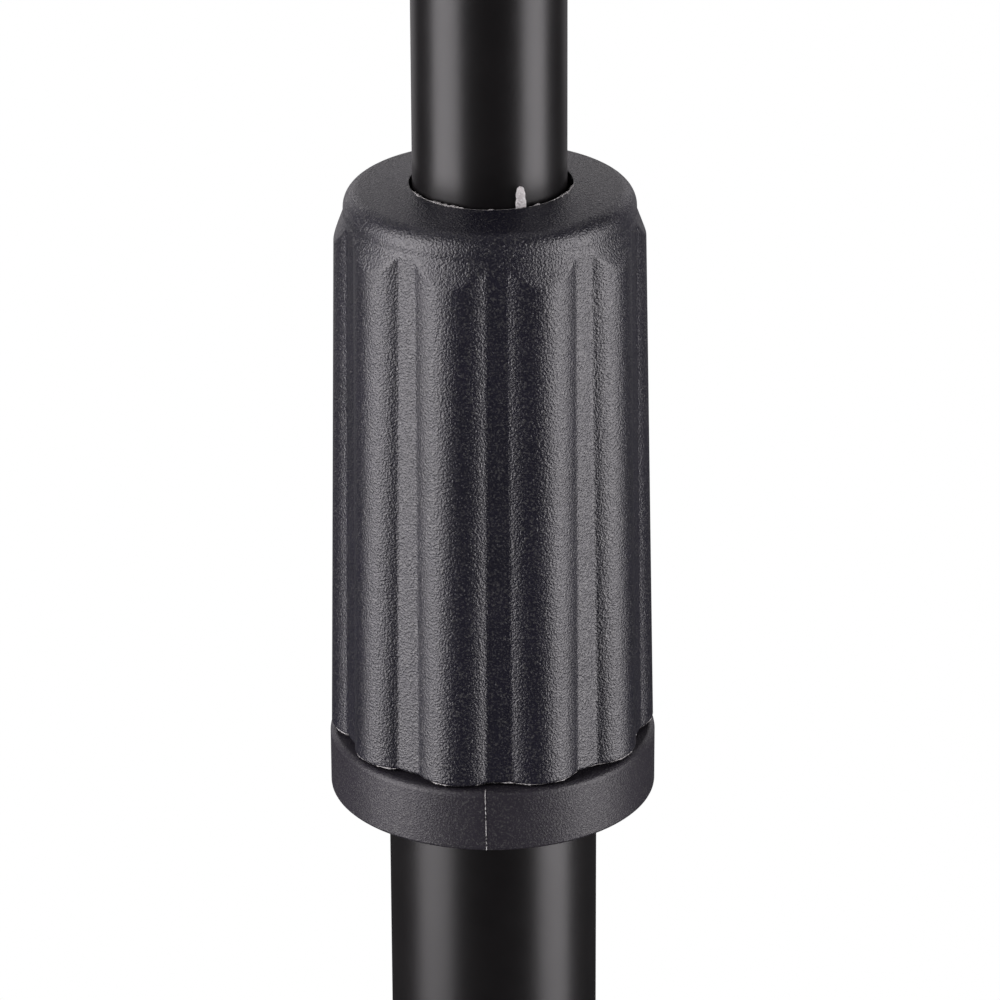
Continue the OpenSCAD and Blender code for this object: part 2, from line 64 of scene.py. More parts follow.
def axes_frame(origin, x, y):
    """A frame from its origin in metres and two of its axes. Z is square to both."""
    turn = Matrix((x, y, x.cross(y))).transposed().to_4x4()
    return Matrix.Translation(origin) @ turn @ Matrix.Scale(MM, 4)


def middle(node):
    """The centre of a CAD node's box, in metres."""
    lo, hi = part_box(node)
    return (lo + hi) / 2


def leg_frame(name):
    """X runs down the leg from its pivot, Y along the pivot's axis."""
    joint = JOINTS["leg_" + name + "_fold"]
    pivot = Vector(joint["pos_m"])
    along = (middle("leg_tube_" + name) - pivot).normalized()
    return axes_frame(pivot, along, Vector(joint["axis"]).normalized())


ACROSS = Vector((1, 0, 0))  # to the player's right
AWAY = Vector((0, 1, 0))  # away from the player
ABOUT_X = Matrix.Rotation(math.pi / 2, 4, "Y")  # turns a frame so that its Z is the old X
ABOUT_Y = Matrix.Rotation(-math.pi / 2, 4, "X")  # turns a frame so that its Z is the old Y
STAND_UP = Matrix.Rotation(math.pi / 2, 4, "X")  # turns a frame so that its Y is the old Z
SHAFT = middle("lower_tube") * Vector((1, 1, 0))  # where the shaft's axis meets the floor
SHAFT_FRAME = axes_frame(SHAFT, ACROSS, AWAY)
CLUTCH_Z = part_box("clutch_body")[0].z  # underside of the clutch ring
CLUTCH_FRAME = axes_frame(SHAFT + Vector((0, 0, CLUTCH_Z)), ACROSS, AWAY)
DESK_FRAME = axes_frame(JOINTS["desk_tilt"]["pos_m"], ACROSS, -Vector(MOUNTS["desk_face"]["axis"]))
LEGS = ("rear", "left", "right")
LEG_FRAMES = {name: leg_frame(name) for name in LEGS}


def span(node, place):
    """Lowest and highest height of a node in a frame whose axes are the scene's."""
    lo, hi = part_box(node)
    base = place.translation.z
    return (lo.z - base) / MM, (hi.z - base) / MM


# ---- numbers

def between(a, b, t):
    """The value a part t of the way from a to b."""
    return a + (b - a) * t


def soft_min(a, b, width):
    """The lower of two values, rounded where they cross."""
    h = max(width - abs(a - b), 0) / width
    return min(a, b) - h * h * width / 4


def soft_max(a, b, width):
    """The higher of two values, rounded where they cross."""
    return -soft_min(-a, -b, width)


def polar(radius, turn, height):
    """The point at a radius, an angle and a height about Z."""
    return Vector((radius * math.cos(turn), radius * math.sin(turn), height))


def quarter(steps, first=0):
    """Angles from 0 to a quarter turn in equal steps, without those before the first."""
    return [math.pi / 2 * k / steps for k in range(first, steps + 1)]


def circle(x, y, radius, steps):
    """Points round a circle."""
    return [(x + radius * math.cos(TURN * k / steps), y + radius * math.sin(TURN * k / steps))
            for k in range(steps)]


def hexagon(across_flats):
    """Radius of a hexagon as a function of the turn."""
    def radius(turn):
        off = (turn + math.pi / 6) % (math.pi / 3) - math.pi / 6
        return across_flats / 2 / math.cos(off)
    return radius


def fillet(corners, steps=5):
    """An outline through corners (x, y, radius), each rounded by its own radius."""
    outline = []
    for i, (x, y, radius) in enumerate(corners):
        if radius <= 0:
            outline.append((x, y))
            continue
        here = Vector((x, y))
        back = (Vector(corners[i - 1][:2]) - here).normalized()
        ahead = (Vector(corners[(i + 1) % len(corners)][:2]) - here).normalized()
        half = back.angle(ahead) / 2
        centre = here + (back + ahead).normalized() * radius / math.sin(half)
        first = here + back * radius / math.tan(half) - centre
        last = here + ahead * radius / math.tan(half) - centre
        start = math.atan2(first.y, first.x)
        sweep = (math.atan2(last.y, last.x) - start + math.pi) % TURN - math.pi
        for k in range(steps + 1):
            turn = start + sweep * k / steps
            outline.append((centre.x + radius * math.cos(turn), centre.y + radius * math.sin(turn)))
    return outline


def ribbon(path, half):
    """Outline of a strip of sheet that follows a path, with its two edges rounded."""
    points = [Vector(p) for p in path]
    sides = []
    for i, here in enumerate(points):
        ahead = (points[min(i + 1, len(points) - 1)] - here).normalized()
        back = (here - points[max(i - 1, 0)]).normalized()
        along = (ahead + back).normalized()
        sides.append((along, Vector((-along.y, along.x))))
    left = [p + side * half for p, (_, side) in zip(points, sides)]
    right = [p - side * half for p, (_, side) in zip(points, sides)]
    cap = 0.35 * half
    for edge in (left, right):
        edge[0] = edge[0] + sides[0][0] * cap
        edge[-1] = edge[-1] - sides[-1][0] * cap
    inner = 1 - cap / half
    tip = [points[-1] + sides[-1][1] * half * k for k in (inner, -inner)]
    tail = [points[0] + sides[0][1] * half * k for k in (-inner, inner)]
    return left + tip + right[::-1] + tail


# ---- meshes

def grid(bm, rows, closed_rows=False, closed_columns=True, caps=False):
    """Faces between rows of points that all have the same length."""
    verts = [[bm.verts.new(p) for p in row] for row in rows]
    height, width = len(verts), len(verts[0])
    for i in range(height if closed_rows else height - 1):
        for j in range(width if closed_columns else width - 1):
            a, b = verts[i], verts[(i + 1) % height]
            k = (j + 1) % width
            bm.faces.new((a[j], a[k], b[k], b[j]))
    if caps:
        bm.faces.new(verts[0])
        bm.faces.new(verts[-1])


def turned(bm, profile, place, steps=96):
    """A profile of (radius, height) turned about Z. A radius may be a function of the turn.

    A profile that starts and ends on the axis is solid; any other is closed into a hollow ring.
    """
    rows = []
    for radius, height in profile:
        row = []
        for j in range(steps):
            turn = TURN * j / steps
            r = radius(turn) if callable(radius) else radius
            row.append(place @ polar(r, turn, height))
        rows.append(row)
    grid(bm, rows, closed_rows=profile[0][0] != 0)


def sector(bm, outline, place, start, end, steps=16):
    """A closed outline of (radius, height) turned about Z between two angles."""
    rows = []
    for i in range(steps + 1):
        turn = between(start, end, i / steps)
        rows.append([place @ polar(r, turn, z) for r, z in outline])
    grid(bm, rows, caps=True)


def prism(bm, outline, place, low, high):
    """A closed outline in X and Y made solid from low to high along Z."""
    rows = [[place @ Vector((x, y, z)) for x, y in outline] for z in (low, high)]
    grid(bm, rows, caps=True)


def finish_mesh(name, bm, sharp=35, weld=True):
    """A new object from bm, faces outward, shaded smooth except over sharp edges."""
    if weld:
        bmesh.ops.remove_doubles(bm, verts=bm.verts, dist=2e-7)
    bmesh.ops.recalc_face_normals(bm, faces=bm.faces)
    mesh = bpy.data.meshes.new(name)
    bm.to_mesh(mesh)
    bm.free()
    mesh.shade_smooth()
    mesh.set_sharp_from_angle(angle=math.radians(sharp))
    obj = bpy.data.objects.new(name, mesh)
    bpy.context.scene.collection.objects.link(obj)
    weighted = obj.modifiers.new("even_flats", "WEIGHTED_NORMAL")
    weighted.keep_sharp = True
    return obj


def apply_modifiers(obj):
    """Puts the shape that an object's modifiers give into its mesh."""
    graph = bpy.context.evaluated_depsgraph_get()
    shaped = bpy.data.meshes.new_from_object(obj.evaluated_get(graph))
    obj.modifiers.clear()
    obj.data = shaped


def moulded(name, bm, voxel, rounds, cutter=None):
    """One casting or moulding from overlapping solids, its edges and corners rounded."""
    obj = finish_mesh(name, bm)
    obj.modifiers.clear()
    skin = obj.modifiers.new("skin", "REMESH")
    skin.mode = "VOXEL"
    skin.voxel_size = voxel * MM
    smooth = obj.modifiers.new("rounding", "SMOOTH")
    smooth.factor = 0.5
    smooth.iterations = rounds
    if cutter:
        cut = obj.modifiers.new("cut", "BOOLEAN")
        cut.operation = "DIFFERENCE"
        cut.object = cutter
    apply_modifiers(obj)
    if cutter:
        bpy.data.objects.remove(cutter)
    obj.data.shade_smooth()
    obj.data.set_sharp_from_angle(angle=math.radians(50))
    return obj


# ---- materials

MATERIALS = {}  # by their own names, some of which the frame's share


def new_material(name, roughness=0.5, specular=0.5, metallic=0.0):
    """Keeps a new material in MATERIALS. Returns its node tree and its shader."""
    MATERIALS[name] = material = bpy.data.materials.new(name)
    material.use_nodes = True
    tree = material.node_tree
    shader = tree.nodes["Principled BSDF"]
    shader.inputs["Roughness"].default_value = roughness
    shader.inputs["Specular IOR Level"].default_value = specular
    shader.inputs["Metallic"].default_value = metallic
    return tree, shader


def noise(tree, size, detail=3.0, roughness=0.5):
    """Noise in the object's own space, with features about size millimetres across."""
    place = tree.nodes.new("ShaderNodeTexCoord")
    mapping = tree.nodes.new("ShaderNodeMapping")
    mapping.inputs["Scale"].default_value = [1 / (size * MM)] * 3
    node = tree.nodes.new("ShaderNodeTexNoise")
    node.inputs["Scale"].default_value = 1.0
    node.inputs["Detail"].default_value = detail
    node.inputs["Roughness"].default_value = roughness
    tree.links.new(place.outputs["Object"], mapping.inputs["Vector"])
    tree.links.new(mapping.outputs["Vector"], node.inputs["Vector"])
    return node.outputs["Fac"]


def ramp(tree, source, stops):
    """A colour ramp of (position, colour) stops."""
    node = tree.nodes.new("ShaderNodeValToRGB")
    elements = node.color_ramp.elements
    while len(elements) < len(stops):
        elements.new(0.5)
    for element, (position, colour) in zip(elements, stops):
        element.position = position
        element.color = (*colour, 1)
    tree.links.new(source, node.inputs["Fac"])
    return node.outputs["Color"]


def mixed(tree, factor, under, over):
    """A colour output mixed with a plain colour by a factor output."""
    node = tree.nodes.new("ShaderNodeMix")
    node.data_type = "RGBA"
    tree.links.new(factor, node.inputs["Factor"])
    tree.links.new(under, node.inputs["A"])
    node.inputs["B"].default_value = (*over, 1)
    return node.outputs["Result"]


def spread(tree, source, low, high):
    """A 0 to 1 output stretched to run from low to high."""
    node = tree.nodes.new("ShaderNodeMapRange")
    node.inputs["To Min"].default_value = low
    node.inputs["To Max"].default_value = high
    tree.links.new(source, node.inputs["Value"])
    return node.outputs["Result"]


def bump(tree, shader, height, depth):
    """Relief on a shader's normal, from a height output and a depth in millimetres."""
    node = tree.nodes.new("ShaderNodeBump")
    node.inputs["Distance"].default_value = depth * MM
    tree.links.new(height, node.inputs["Height"])
    tree.links.new(node.outputs["Normal"], shader.inputs["Normal"])


def grained_plastic(name, dark, light, grain, depth, roughness, glint_paleness, specular=0.5):
    """Moulded plastic with a spark-eroded grain. Its crests are glossier, and paler by a given factor: painted
    glints of light on the grain.
    """
    tree, shader = new_material(name, roughness, specular)
    pits = noise(tree, grain, detail=1.5, roughness=0.6)
    cloud = noise(tree, 9, detail=4.0, roughness=0.6)
    tone = ramp(tree, cloud, [(0.3, dark), (0.7, light)])
    # painted glints: the grain's crests are paler in colour, as if they caught the light
    glint_crests = ramp(tree, pits, [(0.52, (0, 0, 0)), (0.72, (1, 1, 1))])
    colour = mixed(tree, glint_crests, tone, [glint_paleness * sum(light) / 3] * 3)
    tree.links.new(colour, shader.inputs["Base Color"])
    tree.links.new(spread(tree, pits, roughness + 0.16, roughness - 0.16), shader.inputs["Roughness"])
    bump(tree, shader, pits, depth)


def coated(name, colour, roughness, peel, depth):
    """Painted metal: an orange peel of a given size, and a little dust in tone and gloss."""
    tree, shader = new_material(name, roughness)
    dust = noise(tree, 7, detail=6.0, roughness=0.7)
    tone = ramp(tree, dust, [(0.3, colour), (0.8, [1.4 * c for c in colour])])
    tree.links.new(tone, shader.inputs["Base Color"])
    tree.links.new(spread(tree, dust, roughness - 0.04, roughness + 0.05), shader.inputs["Roughness"])
    bump(tree, shader, noise(tree, peel, detail=2.0), depth)


def plated(name, colour, roughness):
    """Bare or plated metal with fine tool marks and slight clouding."""
    tree, shader = new_material(name, roughness, metallic=1.0)
    cloud = noise(tree, 2.5, detail=5.0, roughness=0.65)
    marks = noise(tree, 0.25, detail=3.0)
    tone = ramp(tree, cloud, [(0.25, [0.72 * c for c in colour]), (0.75, colour)])
    tree.links.new(tone, shader.inputs["Base Color"])
    tree.links.new(spread(tree, cloud, roughness + 0.1, roughness - 0.05), shader.inputs["Roughness"])
    bump(tree, shader, marks, 0.012)


def rubber(name, colour, grain, dusty):
    """Soft black rubber or PVC with a dusty bloom."""
    tree, shader = new_material(name, 0.72, 0.35)
    bloom = noise(tree, 5, detail=7.0, roughness=0.75)
    tone = ramp(tree, bloom, [(0.35, colour), (0.75, [dusty * c for c in colour])])
    tree.links.new(tone, shader.inputs["Base Color"])
    shader.inputs["Sheen Weight"].default_value = 0.12
    bump(tree, shader, noise(tree, grain, detail=3.0), 0.03)


coated("tube_paint", (0.0052, 0.0046, 0.0050), 0.33, peel=1.2, depth=0.004)
coated("hub_cast", (0.022, 0.022, 0.023), 0.46, peel=0.5, depth=0.03)
coated("desk_paint", (0.026, 0.026, 0.027), 0.56, peel=0.7, depth=0.02)
# In each of these plastics the grain's crests are painted paler in colour, as glints of light.
grained_plastic("grip_plastic", (0.003, 0.0027, 0.009), (0.007, 0.006, 0.015),
                grain=0.22, depth=0.095, roughness=0.33, glint_paleness=7, specular=0.86)
grained_plastic("ring_plastic", (0.014, 0.012, 0.018), (0.022, 0.019, 0.027),
                grain=0.2, depth=0.05, roughness=0.42, glint_paleness=3, specular=0.53)
grained_plastic("lug_plastic", (0.016, 0.016, 0.018), (0.026, 0.026, 0.028),
                grain=0.3, depth=0.04, roughness=0.5, glint_paleness=2.0)
grained_plastic("knob_plastic", (0.012, 0.012, 0.013), (0.018, 0.018, 0.019),
                grain=0.3, depth=0.02, roughness=0.36, glint_paleness=1.6)
grained_plastic("nylon", (0.55, 0.53, 0.53), (0.93, 0.90, 0.89),
                grain=0.25, depth=0.16, roughness=0.6, glint_paleness=1.0)
grained_plastic("friction_liner", (0.05, 0.04, 0.032), (0.10, 0.085, 0.07),
                grain=0.5, depth=0.06, roughness=0.7, glint_paleness=1.6)
plated("zinc", (0.60, 0.61, 0.62), 0.32)
plated("spring_steel", (0.42, 0.42, 0.43), 0.30)
plated("black_screw", (0.045, 0.045, 0.05), 0.38)
plated("brass", (0.66, 0.47, 0.20), 0.30)
rubber("edging", (0.012, 0.012, 0.012), grain=0.5, dusty=1.8)
rubber("boot_rubber", (0.014, 0.014, 0.014), grain=0.6, dusty=2.6)
# Pale finish for the thin beads of moulding: a painted highlight on their raised edges.
grained_plastic("flash_painted_highlight", (0.22, 0.21, 0.21), (0.45, 0.44, 0.43),
                grain=0.25, depth=0.03, roughness=0.6, glint_paleness=1.5)


def clad(obj, slot, body, *nodes, finish=None):
    """Gives a new piece a finish, the material of its record slot unless another is named, a body, and hides the
    nodes it stands for.
    """
    obj.data.materials.clear()
    obj.data.materials.append(MATERIALS[finish or slot])
    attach(obj, body)
    if nodes:
        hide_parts(*nodes)


def turned_piece(name, profile, place, steps, slot, body, node, sharp=35):
    """One turned solid as a piece that stands for a node."""
    bm = bmesh.new()
    turned(bm, profile, place, steps)
    clad(finish_mesh(name, bm, sharp), slot, body, node)


# ---- the clutch, heights from its ring's foot

UPPER_R, UPPER_BORE = 7.95, 6.75
LOWER_R, LOWER_BORE = 11.1, 9.6
RING_R = 17.3
SLEEVE_R, SLEEVE_NECK, SLEEVE_BORE = 13.4, 12.4, 8.25
SLEEVE_TOP = 36  # the threaded sleeve that the ring carries
TUBE_SEAT = 26  # where the lower tube ends inside the sleeve
COLLET_FOOT, COLLET_TOP = 39, 60
COLLET_BORE = UPPER_R + 0.05
FINGERS = 6
TAB_AT = math.radians(-68.2)  # the tip of one finger stands out of the grip here
TAB_TOP = span("clamp_collet", CLUTCH_FRAME)[1]
TAB_HALF = 0.6  # half its width
TAB_ROUND = 0.45  # length of its rounded end
GRIP_FLOOR, GRIP_TOP = span("grip", CLUTCH_FRAME)
RING_H = GRIP_FLOOR - 0.35
LOBES = 10
FLUTE_AT = math.radians(2.5 - 90)  # one flute faces the front
FLUTE_TOP_R, FLUTE_LOW_R = 15.2, 15.98
CREST_TOP_R, CREST_LOW_R = 16.08, 17.15
LOBE_HALF_TOP, LOBE_HALF_LOW = math.radians(14.2), math.radians(13.3)
FLUTE_SOFT = 0.09  # rounding where a lobe meets a flute
CONE_SOFT = 0.07  # and where it meets the cone above
FOOT_SOFT = 0.35  # height over which the grip's foot draws in
BORE_R = 8.38
BORE_PLAY = 0.14  # how far the moulded bore lies off the shaft's axis
THREAD_BORE = 13.7  # the grip's bore over the sleeve
COLLAR_R = 15.08
CONE_TOP, CONE_FOOT = GRIP_TOP - 3.2, GRIP_TOP - 5.9
CROWN = math.radians(7)  # slope of the grip's top face
EDGE_R = 2.05  # rounding of its outer edge
EDGE_AT = COLLAR_R - EDGE_R
EDGE_DROP = (EDGE_AT + EDGE_R * math.sin(CROWN) - BORE_R) * math.tan(CROWN)
EDGE_Z = GRIP_TOP - EDGE_DROP - EDGE_R * math.cos(CROWN)
LINE_AT = math.radians(-92.2)  # the ring's mould line at its foot
LINE_LEAN = math.radians(0.06)  # its lean for each millimetre of height


def fluted_radius(turn, t):
    """Radius of the grip's lobes and flutes at an angle, with t from 0 at its foot to 1."""
    crest, floor_r = between(CREST_LOW_R, CREST_TOP_R, t), between(FLUTE_LOW_R, FLUTE_TOP_R, t)
    half = between(LOBE_HALF_LOW, LOBE_HALF_TOP, t)
    run = floor_r * math.cos(half)
    lobe_r = (crest ** 2 + floor_r ** 2 - 2 * crest * run) / (2 * (crest - run))
    centre = crest - lobe_r
    pitch = TURN / LOBES
    off = (turn - FLUTE_AT) % pitch - pitch / 2
    reach = max(lobe_r ** 2 - (centre * math.sin(off)) ** 2, 0)
    return soft_max(centre * math.cos(off) + math.sqrt(reach), floor_r, FLUTE_SOFT)


def grip_radius(turn, z):
    """Radius of the grip's side, with the cone that ends its lobes and its slightly soft foot."""
    t = min((z - GRIP_FLOOR) / (CONE_FOOT - GRIP_FLOOR), 1)
    slope = (CREST_TOP_R - COLLAR_R) / (CONE_TOP - CONE_FOOT)
    cone = COLLAR_R + max(CONE_TOP - z, 0) * slope
    foot = 2.4 * max(FOOT_SOFT - (z - GRIP_FLOOR), 0) ** 2
    return max(soft_min(fluted_radius(turn, t), cone, CONE_SOFT), COLLAR_R * (z > CONE_TOP)) - foot


def bore_radius(turn):
    """Radius of the grip's bore, which lies a little off the axis."""
    return BORE_R + BORE_PLAY * math.cos(turn)


def grip_bore(more):
    """The bore's radius as a function of the turn, with more added to it."""
    return lambda turn: bore_radius(turn) + more


def make_grip():
    """The fluted grip: its side, its rounded top edge, and its stepped bore."""
    side = [GRIP_FLOOR + 0.05 * i for i in range(8)]
    side += [between(GRIP_FLOOR + 0.5, CONE_FOOT - 1, i / 48) for i in range(49)]
    side += [between(CONE_FOOT - 1, EDGE_Z, i / 44) for i in range(1, 45)]
    profile = [(lambda turn, z=z: grip_radius(turn, z), z) for z in side]
    for i in range(1, 13):
        a = between(0, math.pi / 2 - CROWN, i / 12)
        profile.append((EDGE_AT + EDGE_R * math.cos(a), EDGE_Z + EDGE_R * math.sin(a)))
    shelf = COLLET_TOP + 1.6
    profile += [(grip_bore(0.2), GRIP_TOP), (grip_bore(0.05), GRIP_TOP - 0.05),
                (grip_bore(0), GRIP_TOP - 0.2), (grip_bore(0), shelf), (10.7, shelf),
                (10.7, COLLET_TOP), (12.9, COLLET_FOOT - 1), (THREAD_BORE, COLLET_FOOT - 2),
                (THREAD_BORE, GRIP_FLOOR + 0.3), (THREAD_BORE + 0.3, GRIP_FLOOR)]
    turned_piece("grip_shell", profile, CLUTCH_FRAME, 420, "grip_plastic", "grip", "grip", sharp=50)


def make_clutch_body():
    """The plain ring below the grip, and the threaded sleeve that it carries inside."""
    outline = fillet([
        (LOWER_R, 0, 0), (RING_R, 0, 0.35), (RING_R, RING_H, 0.7), (SLEEVE_NECK, RING_H, 0),
        (SLEEVE_NECK, RING_H + 3, 0), (SLEEVE_R, RING_H + 4, 0.2), (SLEEVE_R, SLEEVE_TOP - 1, 0.2),
        (SLEEVE_NECK, SLEEVE_TOP, 0.2), (SLEEVE_BORE, SLEEVE_TOP, 0.2), (SLEEVE_BORE, TUBE_SEAT, 0),
        (LOWER_R, TUBE_SEAT, 0)])
    turned_piece("clutch_ring", outline, CLUTCH_FRAME, 240, "ring_plastic", "base", "clutch_body")


def highlight_flash_bead(name, path, radii, slot, body):
    """A thin raised cord on the clutch along a path of points, with a radius for each. Its pale finish is a
    painted highlight.
    """
    rows = []
    for i, (here, radius) in enumerate(zip(path, radii)):
        along = (path[min(i + 1, len(path) - 1)] - path[max(i - 1, 0)]).normalized()
        side = along.cross(Vector((0, 0, 1))).normalized()
        up = side.cross(along)
        rows.append([CLUTCH_FRAME @ (here + side * radius * math.cos(a) + up * radius * math.sin(a))
                     for a in (TURN * k / 8 for k in range(8))])
    bm = bmesh.new()
    grid(bm, rows, caps=True)
    # the pale finish is a painted highlight along the cord
    clad(finish_mesh(name, bm), slot, body, finish="flash_painted_highlight")


def make_mould_line_highlight():
    """The fine raised line that the mould's joint leaves down the front of the ring, in a pale finish that paints
    a highlight along it.
    """
    out, foot, top = RING_R + 0.02, 0.15, RING_H + 0.01
    profile = fillet([(RING_R - 0.4, foot, 0), (out, foot, 0.1), (out, top, 0.7), (RING_R - 1, top, 0)])
    starts, ends = profile[1:-1], profile[2:-1] + profile[-2:-1]
    dice = random.Random(9)
    path, radii = [], []
    for (r, z), (next_r, next_z) in zip(starts, ends):
        steps = max(int((next_z - z) / 0.3), 1)
        for k in range(steps):
            across, height = between(r, next_r, k / steps), between(z, next_z, k / steps)
            turn = LINE_AT - LINE_LEAN * height + dice.uniform(-0.001, 0.001)
            path.append(polar(across, turn, height))
            radii.append(dice.uniform(0.035, 0.06))
    # drawn in the pale finish: a painted highlight on the raised line
    highlight_flash_bead("ring_mould_line_highlight", path, radii, "ring_plastic", "base")


def tab_rows():
    """Sections up the tip that shows: a strip of nylon that leans on the upper tube."""
    rows = []
    for i in range(41):
        z = between(COLLET_TOP - 3, TAB_TOP, math.sin(math.pi / 2 * i / 40))
        above = max(z - GRIP_TOP, 0)
        end = max(z - (TAB_TOP - TAB_ROUND), 0) / TAB_ROUND
        half = (TAB_HALF - 0.08 * above + 0.04 * math.sin(7 * z)) * math.sqrt(max(1 - end ** 2, 0.01))
        slant = 0.06 * (TAB_TOP - z)
        rows.append([])
        for a in (TURN * k / 12 for k in range(12)):
            r = COLLET_BORE + 0.2 + 0.06 * above + 0.17 * math.sin(a)
            rows[-1].append(CLUTCH_FRAME @ polar(r, TAB_AT + (half * math.cos(a) + slant) / r, z))
    return rows


def make_collet():
    """Split nylon sleeve. The tip of one finger shows between the grip and the tube."""
    foot = [(COLLET_BORE, SLEEVE_TOP), (12.6, SLEEVE_TOP), (12.6, COLLET_FOOT),
            (COLLET_BORE, COLLET_FOOT)]
    finger = [(COLLET_BORE, COLLET_FOOT), (12.1, COLLET_FOOT), (10.4, COLLET_TOP),
              (COLLET_BORE, COLLET_TOP)]
    bm = bmesh.new()
    turned(bm, foot, CLUTCH_FRAME)
    for i in range(FINGERS):
        start = TURN * (i + 0.45) / FINGERS
        sector(bm, finger, CLUTCH_FRAME, start, start + 0.9 * TURN / FINGERS)
    grid(bm, tab_rows(), caps=True)
    collet = finish_mesh("collet_fingers", bm)
    collet.visible_glossy = False  # its pale tip isn't doubled in the grip's top face
    clad(collet, "nylon", "base", "clamp_collet")


def ragged_bead(name, start, end, place_at, thick, ragged, seed):
    """A torn thread of the grip's moulding burr along place_at(turn), between two angles in degrees, pale as a
    painted highlight.
    """
    start, end = math.radians(start), math.radians(end)
    dice = random.Random(seed)
    count = int(abs(end - start) / math.radians(0.5))
    path, radii, level, stray = [], [], 0.5, Vector()
    for i in range(count + 1):
        level = min(max(level + dice.uniform(-0.3, 0.3), 0), 1)
        stray = 0.7 * stray + Vector([dice.uniform(-0.5, 0.5) * thick * level for _ in range(3)])
        taper = math.sin(math.pi * i / count) ** 0.3
        path.append(place_at(between(start, end, i / count)) + stray)
        radii.append(thick * (1 - ragged + 2.5 * ragged * level ** 3) * max(taper, 0.05))
    highlight_flash_bead(name, path, radii, "grip_plastic", "grip")


def round_bore(turn):
    """A point on the mouth of the grip's bore."""
    return polar(bore_radius(turn) + 0.08, turn, GRIP_TOP - 0.03)


def round_foot(turn):
    """A point on the edge of the grip's foot."""
    return polar(grip_radius(turn, GRIP_FLOOR + 0.12) - 0.03, turn, GRIP_FLOOR + 0.08)


def make_flash_highlights():
    """Flash round the front of the grip's bore, in three stretches, and round its foot, pale as a painted
    highlight.
    """
    ragged_bead("bore_flash_highlight_left", -160, -108, round_bore, thick=0.10, ragged=0.6, seed=15)
    ragged_bead("bore_flash_highlight_front", -110, -64, round_bore, thick=0.04, ragged=0.7, seed=36)
    ragged_bead("bore_flash_highlight_right", -63, -2, round_bore, thick=0.09, ragged=0.6, seed=38)
    ragged_bead("foot_flash_highlight", -190, 10, round_foot, thick=0.045, ragged=0.97, seed=4)


def make_tube(name, node, outer, bore, body, place):
    """A drawn tube with softened ends. Its frame's axes are the scene's."""
    low, high = span(node, place)
    ends = fillet([(bore, low, 0.2), (outer, low, 0.4), (outer, high, 0.4), (bore, high, 0.2)], 3)
    turned_piece(name, ends, place, 160, "tube_paint", body, node)


# ---- screws, nuts and rivets

def hex_head(across_flats, seat, top):
    """Profile rows of a hexagon head from its seat to the edge of its chamfered top."""
    flats = hexagon(across_flats)
    chamfer = 0.06 * across_flats
    up = 1 if top > seat else -1
    rows = [(flats, seat)]
    for k in range(5):
        left = chamfer * (1 - k / 4)
        widest = 0.475 * across_flats + 1.732 * left
        rows.append((lambda turn, widest=widest: min(flats(turn), widest), top - up * left))
    return rows


def socket_recess(across_flats, top, depth, up):
    """Profile rows of a hexagon socket sunk into a screw's top."""
    flats = hexagon(across_flats)
    return [(0.6 * across_flats, top), (flats, top - 0.3 * up), (flats, top - depth * up),
            (0, top - (depth + 0.5) * up)]


def make_base_fixings():
    """The bolt that pulls the lower tube into the hub, and its washer."""
    head = span("base_bolt", SHAFT_FRAME)[0]
    low, high = span("base_washer", SHAFT_FRAME)
    bolt = [(0, head)] + hex_head(13, low, head)[::-1] + [(4, low), (4, 90), (0, 90)]
    washer = fillet([(4.3, low, 0.1), (10, low, 0.35), (10, high, 0.2), (4.3, high, 0.1)], 3)
    turned_piece("base_bolt_hex", bolt, SHAFT_FRAME, 96, "zinc", "base", "base_bolt")
    turned_piece("base_washer_disc", washer, SHAFT_FRAME, 96, "zinc", "base", "base_washer")


def make_leg_fixings():
    """Socket-head bolts and locking nuts at the three leg pivots."""
    bolts, nuts = bmesh.new(), bmesh.new()
    head = -EARS_OUT - 3.4
    nut_top = EARS_OUT + 4.4
    for place in LEG_FRAMES.values():
        across = place @ ABOUT_Y
        turned(bolts, socket_recess(4, head, 2, -1)[::-1] + [
            (4.7, head), (5.05, head + 0.15), (5.2, head + 0.5), (5.2, -EARS_OUT - 0.2),
            (5.0, -EARS_OUT), (3, -EARS_OUT), (3, EARS_OUT + 6.5), (2.5, EARS_OUT + 7),
            (0, EARS_OUT + 7)], across)
        turned(nuts, [(3.05, EARS_OUT)] + hex_head(9.87, EARS_OUT, nut_top) + [
            (4.6, nut_top), (4.6, nut_top + 1), (4.3, nut_top + 1.45), (3.6, nut_top + 1.6),
            (3.05, nut_top + 1.5)], across)
    clad(finish_mesh("leg_bolt_screws", bolts), "zinc", "base", "leg_bolts")
    clad(finish_mesh("leg_lock_nuts", nuts), "zinc", "base", "leg_nuts")


def rivets(name, places, radius, held, head, node):
    """Rivets flush with the front of the desk and headed behind the sheet that they hold on it."""
    front, back = PANEL_FRONT, PANEL_BACK + held
    bm = bmesh.new()
    for x, z in places:
        place = DESK_FRAME @ Matrix.Translation((x, 0, z)) @ ABOUT_Y
        turned(bm, [(0, front + 0.05), (radius - 0.25, front + 0.05), (radius - 0.08, front + 0.15),
                    (radius - 0.08, back), (1.8 * radius, back), (1.75 * radius, back + 0.35 * head),
                    (1.4 * radius, back + 0.75 * head), (0.8 * radius, back + 0.95 * head),
                    (0, back + head)], place, 48)
    clad(finish_mesh(name, bm), "black_screw", "desk", node)


# ---- base and legs

